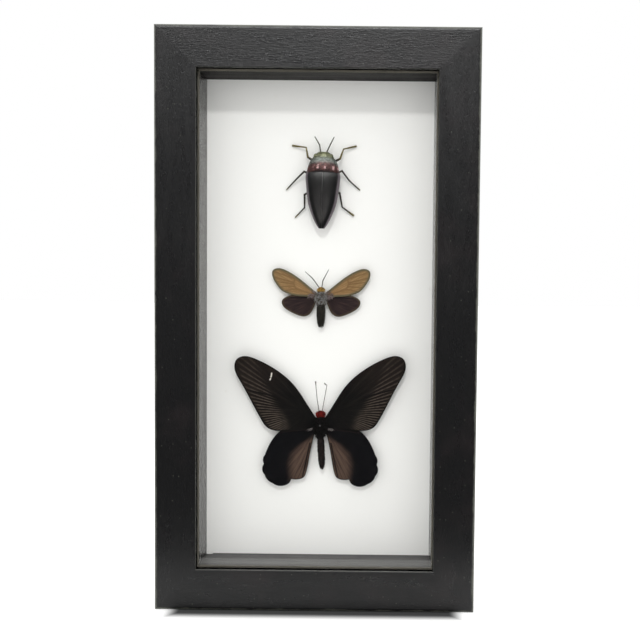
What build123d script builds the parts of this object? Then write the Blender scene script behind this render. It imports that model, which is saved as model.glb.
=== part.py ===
from build123d import *
import os
from math import cos, radians, sin

# A hanging glass-fronted case with three set insects, standing upright: +X is to the right as seen
# from the front, +Y runs from the front to the back, +Z is up. The origin is the middle of the base.
# Every length is in millimetres and every angle in degrees.

# ---- case: outside ----
case_width = 200.0
case_height = 362.0
face_width = 26.0  # width of the moulding, seen from the front
outer_round = 2.4  # rounding of the outer front arris
arris_ease = 0.5  # small rounding of the other long arrises

# ---- case: layers from front to back ----
lip_thickness = 5.0
glass_thickness = 2.0
spacer_depth = 24.5
board_thickness = 5.0
panel_thickness = 3.0
panel_recess = 0.2  # the back panel lies this far inside the back of the moulding

# ---- case: rabbet and what sits in it ----
rabbet_width = 6.5
spacer_proud = 0.9  # the spacers stand this far inside the edge of the lip
rabbet_clearance = 0.15  # gap between the rabbet wall and a spacer or the board
glass_clearance = 0.5
panel_clearance = 0.25
glass_seam = 0.3  # ground edge of the pane
panel_corner = 2.0
chip_length = 4.4  # old chip at the back of the bottom spacer, by its left end
chip_drop = 0.7
chip_depth = 2.0

# ---- corner V-nails ----
nail_leg = 5.0
nail_thickness = 0.7
nail_height = 10.0
nail_sink = 0.6
nail_places = (5.0, 12.0)  # along each side, from the outer corner

# ---- turn buttons and their screws ----
button_thickness = 1.0
button_lift = 0.1  # gap under a button, so that it turns freely
button_wide_radius = 4.6
button_tip_radius = 3.0
button_reach = 15.5  # from the pivot to the centre of the tip
rib_middle_share = 0.55  # pressed rib of a button, as shares of the reach
rib_length_share = 0.5
rib_width = 2.1
rib_rise = 0.4
pivot_to_rabbet = 7.5
side_button_share = 0.25  # height of the lower pair, as a share of the case's height
top_button_share = 0.2  # place of the top button right of the middle, as a share of the case's width
screw_radius = 1.45
screw_fit = 0.05  # radial gap round a screw's shank
screw_length = 11.0
screw_point = 3.0
screw_head_radius = 2.9
screw_head_height = 1.8
# Profile of a pan head from its crown out: shares of its radius and of its height.
dome_profile = ((0, 1), (0.55, 0.94), (0.88, 0.66), (1, 0.2), (1, 0))
recess_length = 3.2
recess_width = 0.7
recess_depth = 0.8

# ---- hanger ----
strap_width = 9.4
strap_thickness = 0.8
strap_heel = 1.1  # strap left below the screw's head
strap_neck_share = 0.9  # where the strap bends out to its eye, as a share of the eye's outer radius
strap_corner = 2.8
eye_below_top = 6.0
eye_height = 2.25  # from the back of the case to the centre of the eye
eye_wall = 0.8
wire_radius = 0.9
wire_fit = 0.05  # radial gap between the ring's bar and the eye
screw_below_eye = 5.2
ring_inner_width = 11.4
ring_drop = 9.2  # from the bar's centre to the inside of the bow
bow_share = 0.9  # radius of the bow, as a share of half the ring's width
hanger_screw_radius = 1.3
hanger_head_radius = 2.5
hanger_screw_length = 10.0

# ---- wall bumpers ----
bumper_radius = 5.0
bumper_height = 4.0
bumper_round = 1.5

# ---- all insects ----
vein_tip_share = 0.45  # width of a vein at its outer end, as a share of its width at the root
wing_cut_margin = 1.0  # the cutter of a wing's outline reaches this far past the curved sheet
end_share = 0.6  # radius of a body's round ends, as a share of its own radius
ring_groove_share = 0.93  # radius between two rings of an abdomen, as a share of the rings' own
abdomen_root_share = 0.82  # radius where an abdomen starts, as a share of its largest
abdomen_swell_share = 0.45  # the abdomen is at its widest this far along
body_gap = 0.02  # between neighbouring plates of an insect's body

# ---- butterfly ----
butterfly_right = 1.6  # place of the pin, right of the middle of the case
butterfly_share = 0.282  # height of the pin, as a share of the opening
butterfly_reach = 56.0  # from the body's middle to the tip of a forewing
butterfly_left_set = 0.6  # turn of each forewing away from the drawn outline
butterfly_right_set = 1.8
butterfly_wing_height = 5.2  # above the board, at the body
butterfly_wing_step = 0.8  # the hindwings lie this much lower
butterfly_wing_thickness = 0.3
butterfly_vein_rise = 0.15
butterfly_vein_width = 0.55
butterfly_curl = 900.0  # radius of the upward curve of the wings
butterfly_body_height = 5.2
butterfly_thorax_length = 14.0
butterfly_thorax_radius = 3.7
butterfly_thorax_set = -1.2  # middle of the thorax, ahead of the pin
butterfly_head_width = 5.8
butterfly_head_radius = 2.0
butterfly_head_lead = 0.6  # middle of the head, ahead of the thorax
butterfly_abdomen_length = 22.6
butterfly_abdomen_radius = 2.3
butterfly_abdomen_rings = 8
butterfly_abdomen_tip = 0.86  # radius before the round end, as a share of the largest
butterfly_abdomen_round = 7  # the higher, the blunter the end
butterfly_abdomen_sink = 1.2  # the abdomen starts this far inside the thorax
butterfly_abdomen_lean = 3.4
butterfly_feeler_radius = 0.22
butterfly_club_radius = 0.48
butterfly_feeler_sink = 0.6  # the feelers start this far inside the front of the head

# ---- moth ----
moth_right = 1.3
moth_share = 0.549
moth_reach = 31.6
moth_wing_height = 3.2
moth_wing_step = 0.6
moth_wing_thickness = 0.25
moth_vein_rise = 0.12
moth_vein_width = 0.4
moth_curl = 700.0
moth_body_height = 4.0
moth_thorax_length = 9.2
moth_thorax_radius = 3.4
moth_thorax_set = -0.6
moth_head_width = 4.8
moth_head_radius = 1.55
moth_head_lead = 0.5
moth_abdomen_length = 15.5
moth_abdomen_radius = 2.7
moth_abdomen_rings = 7
moth_abdomen_tip = 0.68
moth_abdomen_round = 14
moth_abdomen_sink = 1.4
moth_feeler_radius = 0.26
moth_feeler_sink = 0.5

# ---- beetle ----
beetle_right = 2.0
beetle_share = 0.772
beetle_lean = -1.2
beetle_half_width = 11.1
beetle_half_height = 5.9
beetle_belly = 1.2  # height of the belly above the board
wing_case_length = 35.2
wing_case_front = 10.5  # front of the wing cases, ahead of the beetle's middle
suture_gap = 0.12
underside_share = 0.93  # width of the underside, as a share of the wing cases' width
pronotum_length = 9.0
beetle_head_length = 4.3
eye_radius = 1.6
eye_share = 0.9  # the eyes reach this share of the head's rear width
eye_rise = 0.5  # above the seam
leg_radius = 0.85
knee_radius = 0.75
shin_radius = 0.5
broad_foot = 0.68  # radius
slim_foot = 0.4
beetle_feeler_radius = 0.42
beetle_feeler_sink = 1.0
glue_radius = 3.2
glue_rise_share = 0.4  # how far the glue climbs round the belly, as a share of the half-height

# ---- pins ----
pin_radius = 0.25
pin_head_radius = 0.55
pin_depth = 3.5  # into the board
pin_proud = 1.6  # above the thorax
pin_fit = 0.03

# Derived depths, counted back from the front face of the moulding.
glass_front = lip_thickness
spacer_front = glass_front + glass_thickness
board_front = spacer_front + spacer_depth
panel_front = board_front + board_thickness
moulding_depth = panel_front + panel_thickness + panel_recess
overall_depth = moulding_depth + bumper_height
front_y = -overall_depth / 2
rear_y = front_y + moulding_depth

# Derived places across the case.
rabbet_edge = face_width - rabbet_width
opening_edge = face_width + spacer_proud
opening_height = case_height - 2 * opening_edge


def slab(left, right, bottom, top, front, back):
    """A block between two X, two Z and two depths behind the front face."""
    middle = ((left + right) / 2, front_y + (front + back) / 2, (bottom + top) / 2)
    return Pos(*middle) * Box(right - left, back - front, top - bottom)


# ---------------------------------------------------------------- moulding

def near(shape, x, y):
    """The corner of a flat outline that is nearest to a point."""
    return shape.vertices().sort_by_distance((x, y, 0))[0]


def moulding_section():
    """Section of the moulding: x runs inwards from the outer face, y back from the front face."""
    section = make_face(Polyline(
        (0, 0), (face_width, 0), (face_width, lip_thickness), (rabbet_edge, lip_thickness),
        (rabbet_edge, moulding_depth), (0, moulding_depth), close=True))
    section = fillet(near(section, 0, 0), outer_round)
    eased = [near(section, face_width, 0), near(section, face_width, lip_thickness),
             near(section, rabbet_edge, moulding_depth), near(section, 0, moulding_depth)]
    return fillet(eased, arris_ease)


def moulding_piece(start, inward, run, length):
    """One side of the frame, mitred at both ends, from its outer corner `start` along `run`."""
    blank = extrude(Plane(origin=start, x_dir=inward, z_dir=run) * moulding_section(), amount=length)
    mitred = make_face(Polyline(
        (0, 0), (face_width, face_width), (face_width, length - face_width), (0, length), close=True))
    keep = extrude(Plane(origin=start, x_dir=inward, z_dir=(0, -1, 0)) * mitred,
                   amount=moulding_depth, both=True)
    return (blank & keep).solid()


def corner_nails():
    """V-nails across the four mitres, driven in from the back."""
    nails = []
    for side in (-1, 1):
        for base, up in ((0, 1), (case_height, -1)):
            for place in nail_places:
                legs = ((0, 0), (nail_leg, 0), (nail_leg, nail_thickness),
                        (nail_thickness, nail_thickness), (nail_thickness, nail_leg), (0, nail_leg))
                outline = [(side * (case_width / 2 - place - p), base + up * (place + q))
                           for p, q in legs]
                vee = make_face(Polyline(*outline, close=True))
                plane = Plane(origin=(0, rear_y - nail_sink, 0), x_dir=(1, 0, 0), z_dir=(0, -1, 0))
                nails.append(extrude(plane * vee, amount=nail_height, dir=(0, -1, 0)).solid())
    return nails


# ---------------------------------------------------------------- fasteners

def screw(head_radius, head_height, shank_radius, length, countersunk=False):
    """A wood screw on the Z axis: its head starts at Z 0 and rises, its shank runs down."""
    if countersunk:
        head = [(0, 0), (head_radius, 0), (shank_radius, -head_height)]
    else:
        head = [(head_radius * out, head_height * up) for out, up in dome_profile] + [(shank_radius, 0)]
    outline = head + [(shank_radius, screw_point - length), (0, -length)]
    body = revolve(Plane.XZ * make_face(Polyline(*outline, close=True)), axis=Axis.Z)
    crown = 0 if countersunk else head_height
    for angle in (0, 90):
        cross = Rot(0, 0, angle) * Box(recess_length, recess_width, 2 * recess_depth)
        body -= Pos(0, 0, crown) * cross
    return body.solid()


def facing_back(x, z, lift=0.0):
    """A location on the back of the case whose own Z axis points away from it."""
    return Plane(origin=(x, rear_y + lift, z), x_dir=(1, 0, 0), z_dir=(0, 1, 0)).location


def button_places():
    """Pivot and closed direction of each turn button: name to (x, z, angle)."""
    side_x = case_width / 2 - rabbet_edge + pivot_to_rabbet
    end_z = rabbet_edge - pivot_to_rabbet
    low = case_height * side_button_share
    return {
        "top": (case_width * top_button_share, case_height - end_z, -90),
        "bottom": (0, end_z, 90),
        "left_upper": (-side_x, case_height - low, 0),
        "left_lower": (-side_x, low, 0),
        "right_upper": (side_x, case_height - low, 180),
        "right_lower": (side_x, low, 180),
    }


def turn_button():
    """A stamped turn button lying on XY, pivot at the origin, tip towards +X."""
    ends = [CenterArc((0, 0), button_wide_radius, 90, 180),
            CenterArc((button_reach, 0), button_tip_radius, -90, 180)]
    plate = make_face(make_hull(ends))
    rib = SlotCenterToCenter(button_reach * rib_length_share, rib_width)
    raised = Pos(button_reach * rib_middle_share, 0, button_thickness) * extrude(rib, amount=rib_rise)
    pressed = extrude(plate, amount=button_thickness) + raised
    return (pressed - Cylinder(screw_radius + screw_fit, 4 * button_thickness)).solid()


# ---------------------------------------------------------------- hanger

eye_inner = wire_radius + wire_fit
eye_outer = eye_inner + eye_wall
eye_z = case_height - eye_below_top


def hanger_strap():
    """Strap with a rolled eye at its top and a countersunk hole, drawn on YZ and extruded across."""
    foot = -(screw_below_eye + hanger_head_radius + strap_heel)
    neck = -eye_outer * strap_neck_share
    flank = make_face(Polyline((0, foot), (strap_thickness, foot), (strap_thickness, neck),
                               (eye_height, 0), (0, 0), close=True))
    side = flank + Pos(eye_height, 0) * Circle(eye_outer)
    side -= Pos(eye_height, 0) * Circle(eye_inner)
    side &= Pos(strap_width, 0) * Rectangle(2 * strap_width, 6 * strap_width)
    plane = Plane(origin=(-strap_width / 2, rear_y, eye_z), x_dir=(0, 1, 0), z_dir=(1, 0, 0))
    strap = extrude(plane * side, amount=strap_width)
    low = strap.edges().filter_by(Axis.Y).sort_by(Axis.Z)[:2]
    strap = fillet(low, strap_corner)
    strap -= facing_back(0, eye_z - screw_below_eye, strap_thickness) * hanger_screw_blank(wire_fit)
    return strap.solid()


def hanger_screw_blank(grow):
    """Outline body of the countersunk hanger screw, larger by `grow` all round its axis."""
    outline = [(0, grow), (hanger_head_radius + grow, grow), (hanger_head_radius + grow, 0),
               (hanger_screw_radius + grow, -hanger_head_radius + hanger_screw_radius),
               (hanger_screw_radius + grow, -hanger_screw_length - grow), (0, -hanger_screw_length - grow)]
    return revolve(Plane.XZ * make_face(Polyline(*outline, close=True)), axis=Axis.Z)


def hanger_ring():
    """D-shaped ring: a straight bar through the eye and a round bow below it."""
    half = ring_inner_width / 2 + wire_radius
    low = ring_drop + wire_radius
    corner = 2 * wire_radius
    bow = FilletPolyline((half, 0), (half, -low), (-half, -low), (-half, 0), close=True,
                         radius=(corner, half * bow_share, half * bow_share, corner))
    section = Plane(origin=bow @ 0, z_dir=bow % 0) * Circle(wire_radius)
    ring = sweep(section, path=bow)
    place = Plane(origin=(0, rear_y + eye_height, eye_z), x_dir=(1, 0, 0), z_dir=(0, -1, 0))
    return (place.location * ring).solid()


def bumper(x, z):
    """A domed rubber pad stuck on the back of the case."""
    pad = Cylinder(bumper_radius, bumper_height, align=(Align.CENTER, Align.CENTER, Align.MIN))
    pad = fillet(pad.edges().filter_by(GeomType.CIRCLE).sort_by(Axis.Z)[-1], bumper_round)
    return (facing_back(x, z) * pad).solid()


# ---------------------------------------------------------------- insects

def on_board(right, share, lean=0.0):
    """Location on the board of a specimen drawn with X right, Y towards its head and Z off the board."""
    origin = (right, front_y + board_front, opening_edge + share * opening_height)
    return Plane(origin=origin, x_dir=(1, 0, 0), z_dir=(0, -1, 0)).location * Rot(0, 0, lean)


def scaled(points, reach):
    """Points given in hundredths of a wing's reach, as lengths."""
    return [(x * reach / 100, y * reach / 100) for x, y in points]


def smooth_outline(points, reach):
    """A wing outline with one free curve from the front of its root round to the back of its root."""
    places = scaled(points, reach)
    return make_face([Spline(*places), Line(places[-1], places[0])])


def scalloped_outline(front, lobes, rear, reach):
    """A hindwing outline: free front edge, arcs for the lobes of the outer edge, free rear edge."""
    front_edge = Spline(*scaled(front, reach))
    edges = [front_edge]
    for lobe in lobes:
        start = edges[-1] @ 1
        crown, end = scaled(lobe, reach)
        edges.append(ThreePointArc((start.X, start.Y), crown, end))
    rear_start = edges[-1] @ 1
    edges.append(Spline((rear_start.X, rear_start.Y), *scaled(rear, reach)))
    edges.append(Line(edges[-1] @ 1, front_edge @ 0))
    return make_face(edges)


def vein(start, end, width):
    """A thin tapering strip from one point to another."""
    dx, dy = end[0] - start[0], end[1] - start[1]
    length = (dx * dx + dy * dy) ** 0.5
    nx, ny = -dy / length * width / 2, dx / length * width / 2
    tip_x, tip_y = nx * vein_tip_share, ny * vein_tip_share
    return make_face(Polyline(
        (start[0] + nx, start[1] + ny), (start[0] - nx, start[1] - ny),
        (end[0] - tip_x, end[1] - tip_y), (end[0] + tip_x, end[1] + tip_y), close=True))


def wing_sheet(height, thickness, curl, length):
    """A sheet curved up to both sides: a slice of a large tube lying along Y."""
    tube = Cylinder(curl, length) - Cylinder(curl - thickness, length)
    return Pos(0, 0, height + curl) * Rot(90, 0, 0) * tube


def wing(outline, veins, reach, set_angle, height, thickness, rise, vein_width, curl):
    """A right wing: a curved sheet cut to its outline, with raised veins on its upper side."""
    turned = Rot(0, 0, set_angle)
    low = height - wing_cut_margin
    deep = reach * reach / curl + 2 * wing_cut_margin
    shape = extrude(Pos(0, 0, low) * (turned * outline), amount=deep)
    skin = shape & wing_sheet(height, thickness, curl, 3 * reach)
    network = Sketch() + [vein(*scaled(pair, reach), vein_width) for pair in veins]
    ribs = extrude(Pos(0, 0, low) * (turned * network), amount=deep)
    raised = ribs & shape & wing_sheet(height, thickness + rise, curl, 3 * reach)
    return (skin + raised).solid()


def to_left(shape):
    """The same piece on the left of the body."""
    return mirror(shape, about=Plane.YZ)


def spindle(radius, length):
    """An egg-shaped body along Y round the origin: two round ends that run into a flatter side."""
    end_radius = end_share * radius
    end_centre = length / 2 - end_radius
    side_radius = (radius ** 2 + end_centre ** 2 - end_radius ** 2) / (2 * (radius - end_radius))
    side_centre = Vector(radius - side_radius, 0)
    joins = []
    for centre in (Vector(0, end_centre), Vector(0, -end_centre)):
        joins.append(centre + (centre - side_centre).normalized() * end_radius)
    edges = []
    for sign, join in zip((1, -1), joins):
        tilt = (join - Vector(0, sign * end_centre)).normalized() + Vector(0, sign)
        crown = Vector(0, sign * end_centre) + tilt.normalized() * end_radius
        edges.append(ThreePointArc((0, sign * length / 2), crown, join))
    edges += [ThreePointArc(joins[0], (radius, 0), joins[1]), Line((0, -length / 2), (0, length / 2))]
    return (Rot(0, 90, 0) * revolve(make_face(edges), axis=Axis.Y)).solid()


def ringed_abdomen(radius, length, rings, tip_share, blunt, lean):
    """A tapering abdomen of bulging rings that hangs down from the origin and ends round."""
    profile = [(0, 0)]
    for step in range(2 * rings):
        share = step / (2 * rings)
        swell = sin(radians(90 * min(1.0, share / abdomen_swell_share)))
        wide = abdomen_root_share + (1 - abdomen_root_share) * swell
        taper = 1 - (1 - tip_share) * share * share
        groove = ring_groove_share if step % 2 == 0 else 1
        profile.append((radius * wide * taper * groove * (1 - share ** blunt) ** 0.5, -length * share))
    profile.append((0, -length))
    body = revolve(make_face(Polyline(*profile, close=True)), axis=Axis.Y)
    return (Rot(0, 0, lean) * Rot(0, 90, 0) * body).solid()


def limb(points, radii):
    """A jointed limb: an eight-sided rod through rings that are set square to its path."""
    spine = [Vector(*point) for point in points]
    steps = [(after - before).normalized() for before, after in zip(spine, spine[1:])]
    rings = []
    for spot, radius, arriving, leaving in zip(spine, radii, [steps[0]] + steps, steps + [steps[-1]]):
        along = arriving + leaving
        ring_plane = Plane(origin=spot, x_dir=along.cross(Vector(0, 0, 1)), z_dir=along)
        rings.append(ring_plane * RegularPolygon(radius, 8))
    return loft(rings, ruled=True)


def clear_of(shape, *others):
    """What is left of a piece outside its neighbours, as its one largest solid."""
    for other in others:
        shape -= other
    return shape.solids().sort_by(SortBy.VOLUME)[-1]


# Outlines of the butterfly's right wings, in hundredths of its reach.
forewing_line = [
    (4.8, 7.0), (18.4, 27.1), (32.1, 45.9), (54.5, 63.9), (76.8, 75.0), (90.2, 77.5), (97.5, 73.9),
    (100, 66.8), (92.5, 47.5), (79.6, 24.3), (68.2, 3.9), (61.1, -5.0), (55.0, -7.7), (35.7, -7.5),
    (15.2, -5.7), (4.4, -2.6)]
forewing_veins = [
    ((4, 3), (49, 49)), ((4, 2), (43, 17)), ((49, 49), (53, 35)), ((53, 35), (43, 17)),
    ((4, 4), (54, 62.5)), ((38, 39), (77, 74)), ((49, 49), (91, 76.5)), ((49, 49), (98.5, 70)),
    ((50, 46), (98.5, 61)), ((53, 36), (94, 51.5)), ((52, 31), (88, 39.5)), ((48, 25), (81.5, 28.5)),
    ((43, 17), (75, 16.5)), ((34, 13.5), (67.5, 3.5)), ((4, 0), (57, -6.3))]
hindwing_front = [(5.4, -2.5), (25.0, -2.0), (45.7, -7.7), (56.3, -19.3), (62.0, -30.5), (64.1, -36.1)]
hindwing_lobes = [
    ((66.4, -41.1), (65.2, -46.6)), ((67.2, -52.9), (64.1, -59.5)), ((61.1, -65.4), (55.5, -69.1)),
    ((45.9, -72.6), (36.1, -69.2)), ((34.5, -66.8), (33.6, -64.3))]
hindwing_rear = [(24.1, -64.5), (18.8, -62.0), (16.4, -57.0), (12.9, -39.6), (9.6, -22.5), (6.2, -8.9)]
hindwing_veins = [
    ((6, -6), (31, -20.5)), ((6, -7), (19.5, -35)), ((31, -20.5), (32.5, -33)),
    ((32.5, -33), (19.5, -35)), ((6, -5), (46.4, -9.6)), ((31, -20.5), (62.5, -33)),
    ((32, -25), (66, -41.5)), ((32.5, -30), (66.5, -53)), ((32, -33), (60.5, -65)),
    ((26, -34), (46, -72.0)), ((19.5, -35), (34, -66)), ((12, -22), (20.5, -62))]

# Outlines of the moth's right wings, in hundredths of its reach.
moth_forewing_line = [
    (7.5, 8.0), (22.2, 19.8), (46.8, 39.4), (72.0, 54.4), (89.5, 58.4), (98.6, 54.0), (99.2, 41.0),
    (92.0, 27.0), (80.5, 13.2), (68.0, 6.8), (55.0, 3.0), (31.0, 1.2), (7.8, -1.9)]
moth_forewing_veins = [
    ((7, 3), (54, 38)), ((7, 2), (51, 17)), ((54, 38), (56, 27)), ((56, 27), (51, 17)),
    ((54, 38), (89, 57.5)), ((54, 37), (97.5, 52)), ((56, 30), (98.5, 41)), ((56, 27), (95, 31.5)),
    ((54, 22), (87, 20.5)), ((51, 17), (78, 11.8)), ((7, 0), (57, 4.2))]
moth_hindwing_line = [
    (8.2, 3.2), (38.0, 6.5), (61.7, 3.8), (73.4, -1.0), (80.1, -8.2), (77.5, -19.0), (65.8, -28.6),
    (48.7, -36.7), (34.8, -39.6), (24.1, -35.4), (15.8, -22.8), (9.5, -8.2)]
moth_hindwing_veins = [
    ((9, 0), (73, -2)), ((9, -2), (44, -8)), ((9, -4), (33, -17)), ((44, -8), (33, -17)),
    ((44, -8), (79, -12)), ((43, -9), (74, -22)), ((38, -13), (60, -31)), ((33, -17), (44, -37.4)),
    ((16, -8), (27, -35.5))]


def butterfly():
    """Pieces of the butterfly, in its own frame."""
    reach, up = butterfly_reach, butterfly_body_height
    thorax_front = butterfly_thorax_set + butterfly_thorax_length / 2
    abdomen_start = butterfly_thorax_set - butterfly_thorax_length / 2 + butterfly_abdomen_sink
    thorax = Pos(0, butterfly_thorax_set, up) * spindle(butterfly_thorax_radius, butterfly_thorax_length)
    head_middle = thorax_front + butterfly_head_lead
    head = Pos(0, head_middle, up) * Rot(0, 0, 90) * spindle(butterfly_head_radius, butterfly_head_width)
    abdomen = Pos(0, abdomen_start, up) * ringed_abdomen(
        butterfly_abdomen_radius, butterfly_abdomen_length, butterfly_abdomen_rings,
        butterfly_abdomen_tip, butterfly_abdomen_round, butterfly_abdomen_lean)
    head = clear_of(head, thorax)
    abdomen = clear_of(abdomen, thorax)

    form = (butterfly_wing_thickness, butterfly_vein_rise, butterfly_vein_width, butterfly_curl)
    high, low = butterfly_wing_height, butterfly_wing_height - butterfly_wing_step
    fore_line = smooth_outline(forewing_line, reach)
    hind_line = scalloped_outline(hindwing_front, hindwing_lobes, hindwing_rear, reach)
    fore_right = wing(fore_line, forewing_veins, reach, butterfly_right_set, high, *form)
    fore_left = to_left(wing(fore_line, forewing_veins, reach, butterfly_left_set, high, *form))
    hind = wing(hind_line, hindwing_veins, reach, 0, low, *form)

    brow = head_middle + butterfly_head_radius - butterfly_feeler_sink
    thin, club = butterfly_feeler_radius, butterfly_club_radius
    left_feeler = limb([(-0.9, brow, up), (-2.2, brow + 9, up + 1.5), (-3.0, brow + 17.5, up + 2),
                        (-3.2, brow + 20.4, up + 2)], [thin, thin, thin, club])
    right_feeler = limb([(0.9, brow, up), (3.5, brow + 14.5, up + 1.5), (4.1, brow + 17.8, up + 2),
                         (2.4, brow + 19.2, up + 2)], [thin, thin, thin, club])
    return {
        "butterfly_thorax": thorax,
        "butterfly_head": head,
        "butterfly_abdomen": abdomen,
        "butterfly_left_forewing": clear_of(fore_left, thorax, abdomen, head),
        "butterfly_right_forewing": clear_of(fore_right, thorax, abdomen, head),
        "butterfly_left_hindwing": clear_of(to_left(hind), thorax, abdomen),
        "butterfly_right_hindwing": clear_of(hind, thorax, abdomen),
        "butterfly_antennae": [clear_of(left_feeler, head), clear_of(right_feeler, head)],
    }


def moth():
    """Pieces of the moth, in its own frame."""
    reach, up = moth_reach, moth_body_height
    thorax_front = moth_thorax_set + moth_thorax_length / 2
    abdomen_start = moth_thorax_set - moth_thorax_length / 2 + moth_abdomen_sink
    thorax = Pos(0, moth_thorax_set, up) * spindle(moth_thorax_radius, moth_thorax_length)
    head_middle = thorax_front + moth_head_lead
    head = Pos(0, head_middle, up) * Rot(0, 0, 90) * spindle(moth_head_radius, moth_head_width)
    abdomen = Pos(0, abdomen_start, up) * ringed_abdomen(
        moth_abdomen_radius, moth_abdomen_length, moth_abdomen_rings, moth_abdomen_tip,
        moth_abdomen_round, 0)
    head = clear_of(head, thorax)
    abdomen = clear_of(abdomen, thorax)

    form = (moth_wing_thickness, moth_vein_rise, moth_vein_width, moth_curl)
    high, low = moth_wing_height, moth_wing_height - moth_wing_step
    fore = wing(smooth_outline(moth_forewing_line, reach), moth_forewing_veins, reach, 0, high, *form)
    hind = wing(smooth_outline(moth_hindwing_line, reach), moth_hindwing_veins, reach, 0, low, *form)

    brow = head_middle + moth_head_radius - moth_feeler_sink
    radii = [moth_feeler_radius, 1.3 * moth_feeler_radius, 0.6 * moth_feeler_radius]
    left_feeler = limb([(-0.7, brow, up), (-5.5, brow + 6.6, up + 1), (-10.3, brow + 10.9, up + 1.4)],
                       radii)
    right_feeler = limb([(0.3, brow, up), (1.2, brow + 5.2, up + 1), (4.9, brow + 12.4, up + 1.4)],
                        radii)
    return {
        "moth_thorax": thorax,
        "moth_head": head,
        "moth_abdomen": abdomen,
        "moth_left_forewing": clear_of(to_left(fore), thorax, abdomen, head),
        "moth_right_forewing": clear_of(fore, thorax, abdomen, head),
        "moth_left_hindwing": clear_of(to_left(hind), thorax, abdomen),
        "moth_right_hindwing": clear_of(hind, thorax, abdomen),
        "moth_antennae": [clear_of(left_feeler, head), clear_of(right_feeler, head)],
    }


# Sections of the beetle's plates: share of a plate's length, then shares of the half-width and of
# the half-height. The wing cases run to the rear from their front edge, the others forward.
wing_case_sections = [(0, 0.965, 0.86), (0.06, 1.0, 0.95), (0.32, 0.93, 1.0), (0.55, 0.815, 0.92),
                      (0.76, 0.59, 0.72), (0.91, 0.36, 0.45), (1.0, 0.16, 0.18)]
pronotum_sections = [(0, 0.955, 0.84), (0.4, 0.88, 0.86), (0.8, 0.765, 0.74), (1.0, 0.67, 0.62)]
head_sections = [(0, 0.63, 0.58), (0.55, 0.50, 0.50), (0.9, 0.34, 0.34), (1.0, 0.27, 0.24)]

# Legs of the beetle from front to rear, left then right: hip, knee, ankle and tip, and the foot's radius.
beetle_leg_lines = [
    ([(-4.0, 16.5, 4.2), (-10.2, 20.7, 4.6), (-11.6, 27.0, 3.0), (-20.7, 28.1, 0.9)], broad_foot),
    ([(4.0, 16.5, 4.2), (10.5, 20.3, 4.6), (12.4, 26.6, 3.0), (20.6, 29.0, 0.9)], broad_foot),
    ([(-5.0, 9.0, 3.4), (-12.4, 11.4, 4.6), (-17.5, 6.4, 2.6), (-23.8, -0.3, 0.7)], slim_foot),
    ([(5.0, 9.0, 3.4), (11.9, 12.6, 4.6), (16.5, 6.8, 2.6), (23.6, 1.0, 0.7)], slim_foot),
    ([(-4.0, 1.0, 2.6), (-11.7, -3.2, 4.2), (-11.6, -11.5, 2.4), (-17.7, -17.9, 0.7)], slim_foot),
    ([(4.0, 1.0, 2.6), (10.8, -1.6, 4.2), (12.6, -10.3, 2.4), (20.2, -15.6, 0.9)], broad_foot),
]


def beetle_section(y, half_width, half_height, keep="all"):
    """One cross-section of the beetle, whose seam lies at one height; `keep` is the part kept of it."""
    section = Ellipse(half_width, half_height)
    if keep == "upper_right":
        window = Pos(half_width + suture_gap / 2, half_height) * Rectangle(2 * half_width, 2 * half_height)
        section = section & window
    elif keep == "lower":
        section = section & Pos(0, -half_height - body_gap) * Rectangle(4 * half_width, 2 * half_height)
    seam = beetle_belly + beetle_half_height
    return Plane(origin=(0, y, seam), x_dir=(1, 0, 0), z_dir=(0, -1, 0)) * section


def beetle_plate(start, length, sections):
    """A closed plate of the beetle that runs forward from `start`."""
    return loft([beetle_section(start + share * length, wide * beetle_half_width, high * beetle_half_height)
                 for share, wide, high in sections]).solid()


def beetle():
    """Pieces of the beetle, in its own frame."""
    stations = [(wing_case_front - share * wing_case_length, wide * beetle_half_width,
                 high * beetle_half_height) for share, wide, high in wing_case_sections]
    right = loft([beetle_section(*station, "upper_right") for station in stations]).solid()
    left = to_left(right).solid()
    underside = loft([beetle_section(y, underside_share * wide, high, "lower")
                      for y, wide, high in stations], ruled=True).solid()
    neck = wing_case_front + body_gap
    shield = beetle_plate(neck, pronotum_length, pronotum_sections)
    face = neck + pronotum_length + body_gap
    head = beetle_plate(face, beetle_head_length, head_sections)
    eye_x = eye_share * head_sections[0][1] * beetle_half_width - eye_radius
    eye_z = beetle_belly + beetle_half_height + eye_rise
    for side in (-1, 1):
        head += Pos(side * eye_x, face + eye_radius, eye_z) * Sphere(eye_radius)
    head = clear_of(head, shield)
    plates = (right, left, underside, shield, head)

    legs = []
    for line, foot in beetle_leg_lines:
        legs.append(clear_of(limb(line, [leg_radius, knee_radius, shin_radius, foot]), *plates))
    brow = face + beetle_head_length - beetle_feeler_sink
    thick = beetle_feeler_radius
    feelers = [limb([(-1.8, brow, 6.0), (-2.8, brow + 5.6, 6.0), (-6.1, brow + 10.9, 5.0)],
                    [thick, thick, 0.7 * thick]),
               limb([(1.4, brow, 6.0), (4.0, brow + 5.9, 6.0), (6.3, brow + 10.9, 5.0)],
                    [thick, thick, 0.7 * thick])]
    glue_height = beetle_belly + glue_rise_share * beetle_half_height
    glue = Cylinder(glue_radius, glue_height, align=(Align.CENTER, Align.CENTER, Align.MIN))
    return {
        "beetle_right_wing_case": right,
        "beetle_left_wing_case": left,
        "beetle_underside": underside,
        "beetle_pronotum": shield,
        "beetle_head": head,
        "beetle_legs": legs,
        "beetle_antennae": [clear_of(feeler, head) for feeler in feelers],
        "beetle_glue": clear_of(glue, *plates),
    }


def pin(top):
    """An insect pin on the Z axis that stands in the board, with a small round head."""
    shaft = Cylinder(pin_radius, top + pin_depth, align=(Align.CENTER, Align.CENTER, Align.MIN))
    return (Pos(0, 0, -pin_depth) * shaft + Pos(0, 0, top) * Sphere(pin_head_radius)).solid()


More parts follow.
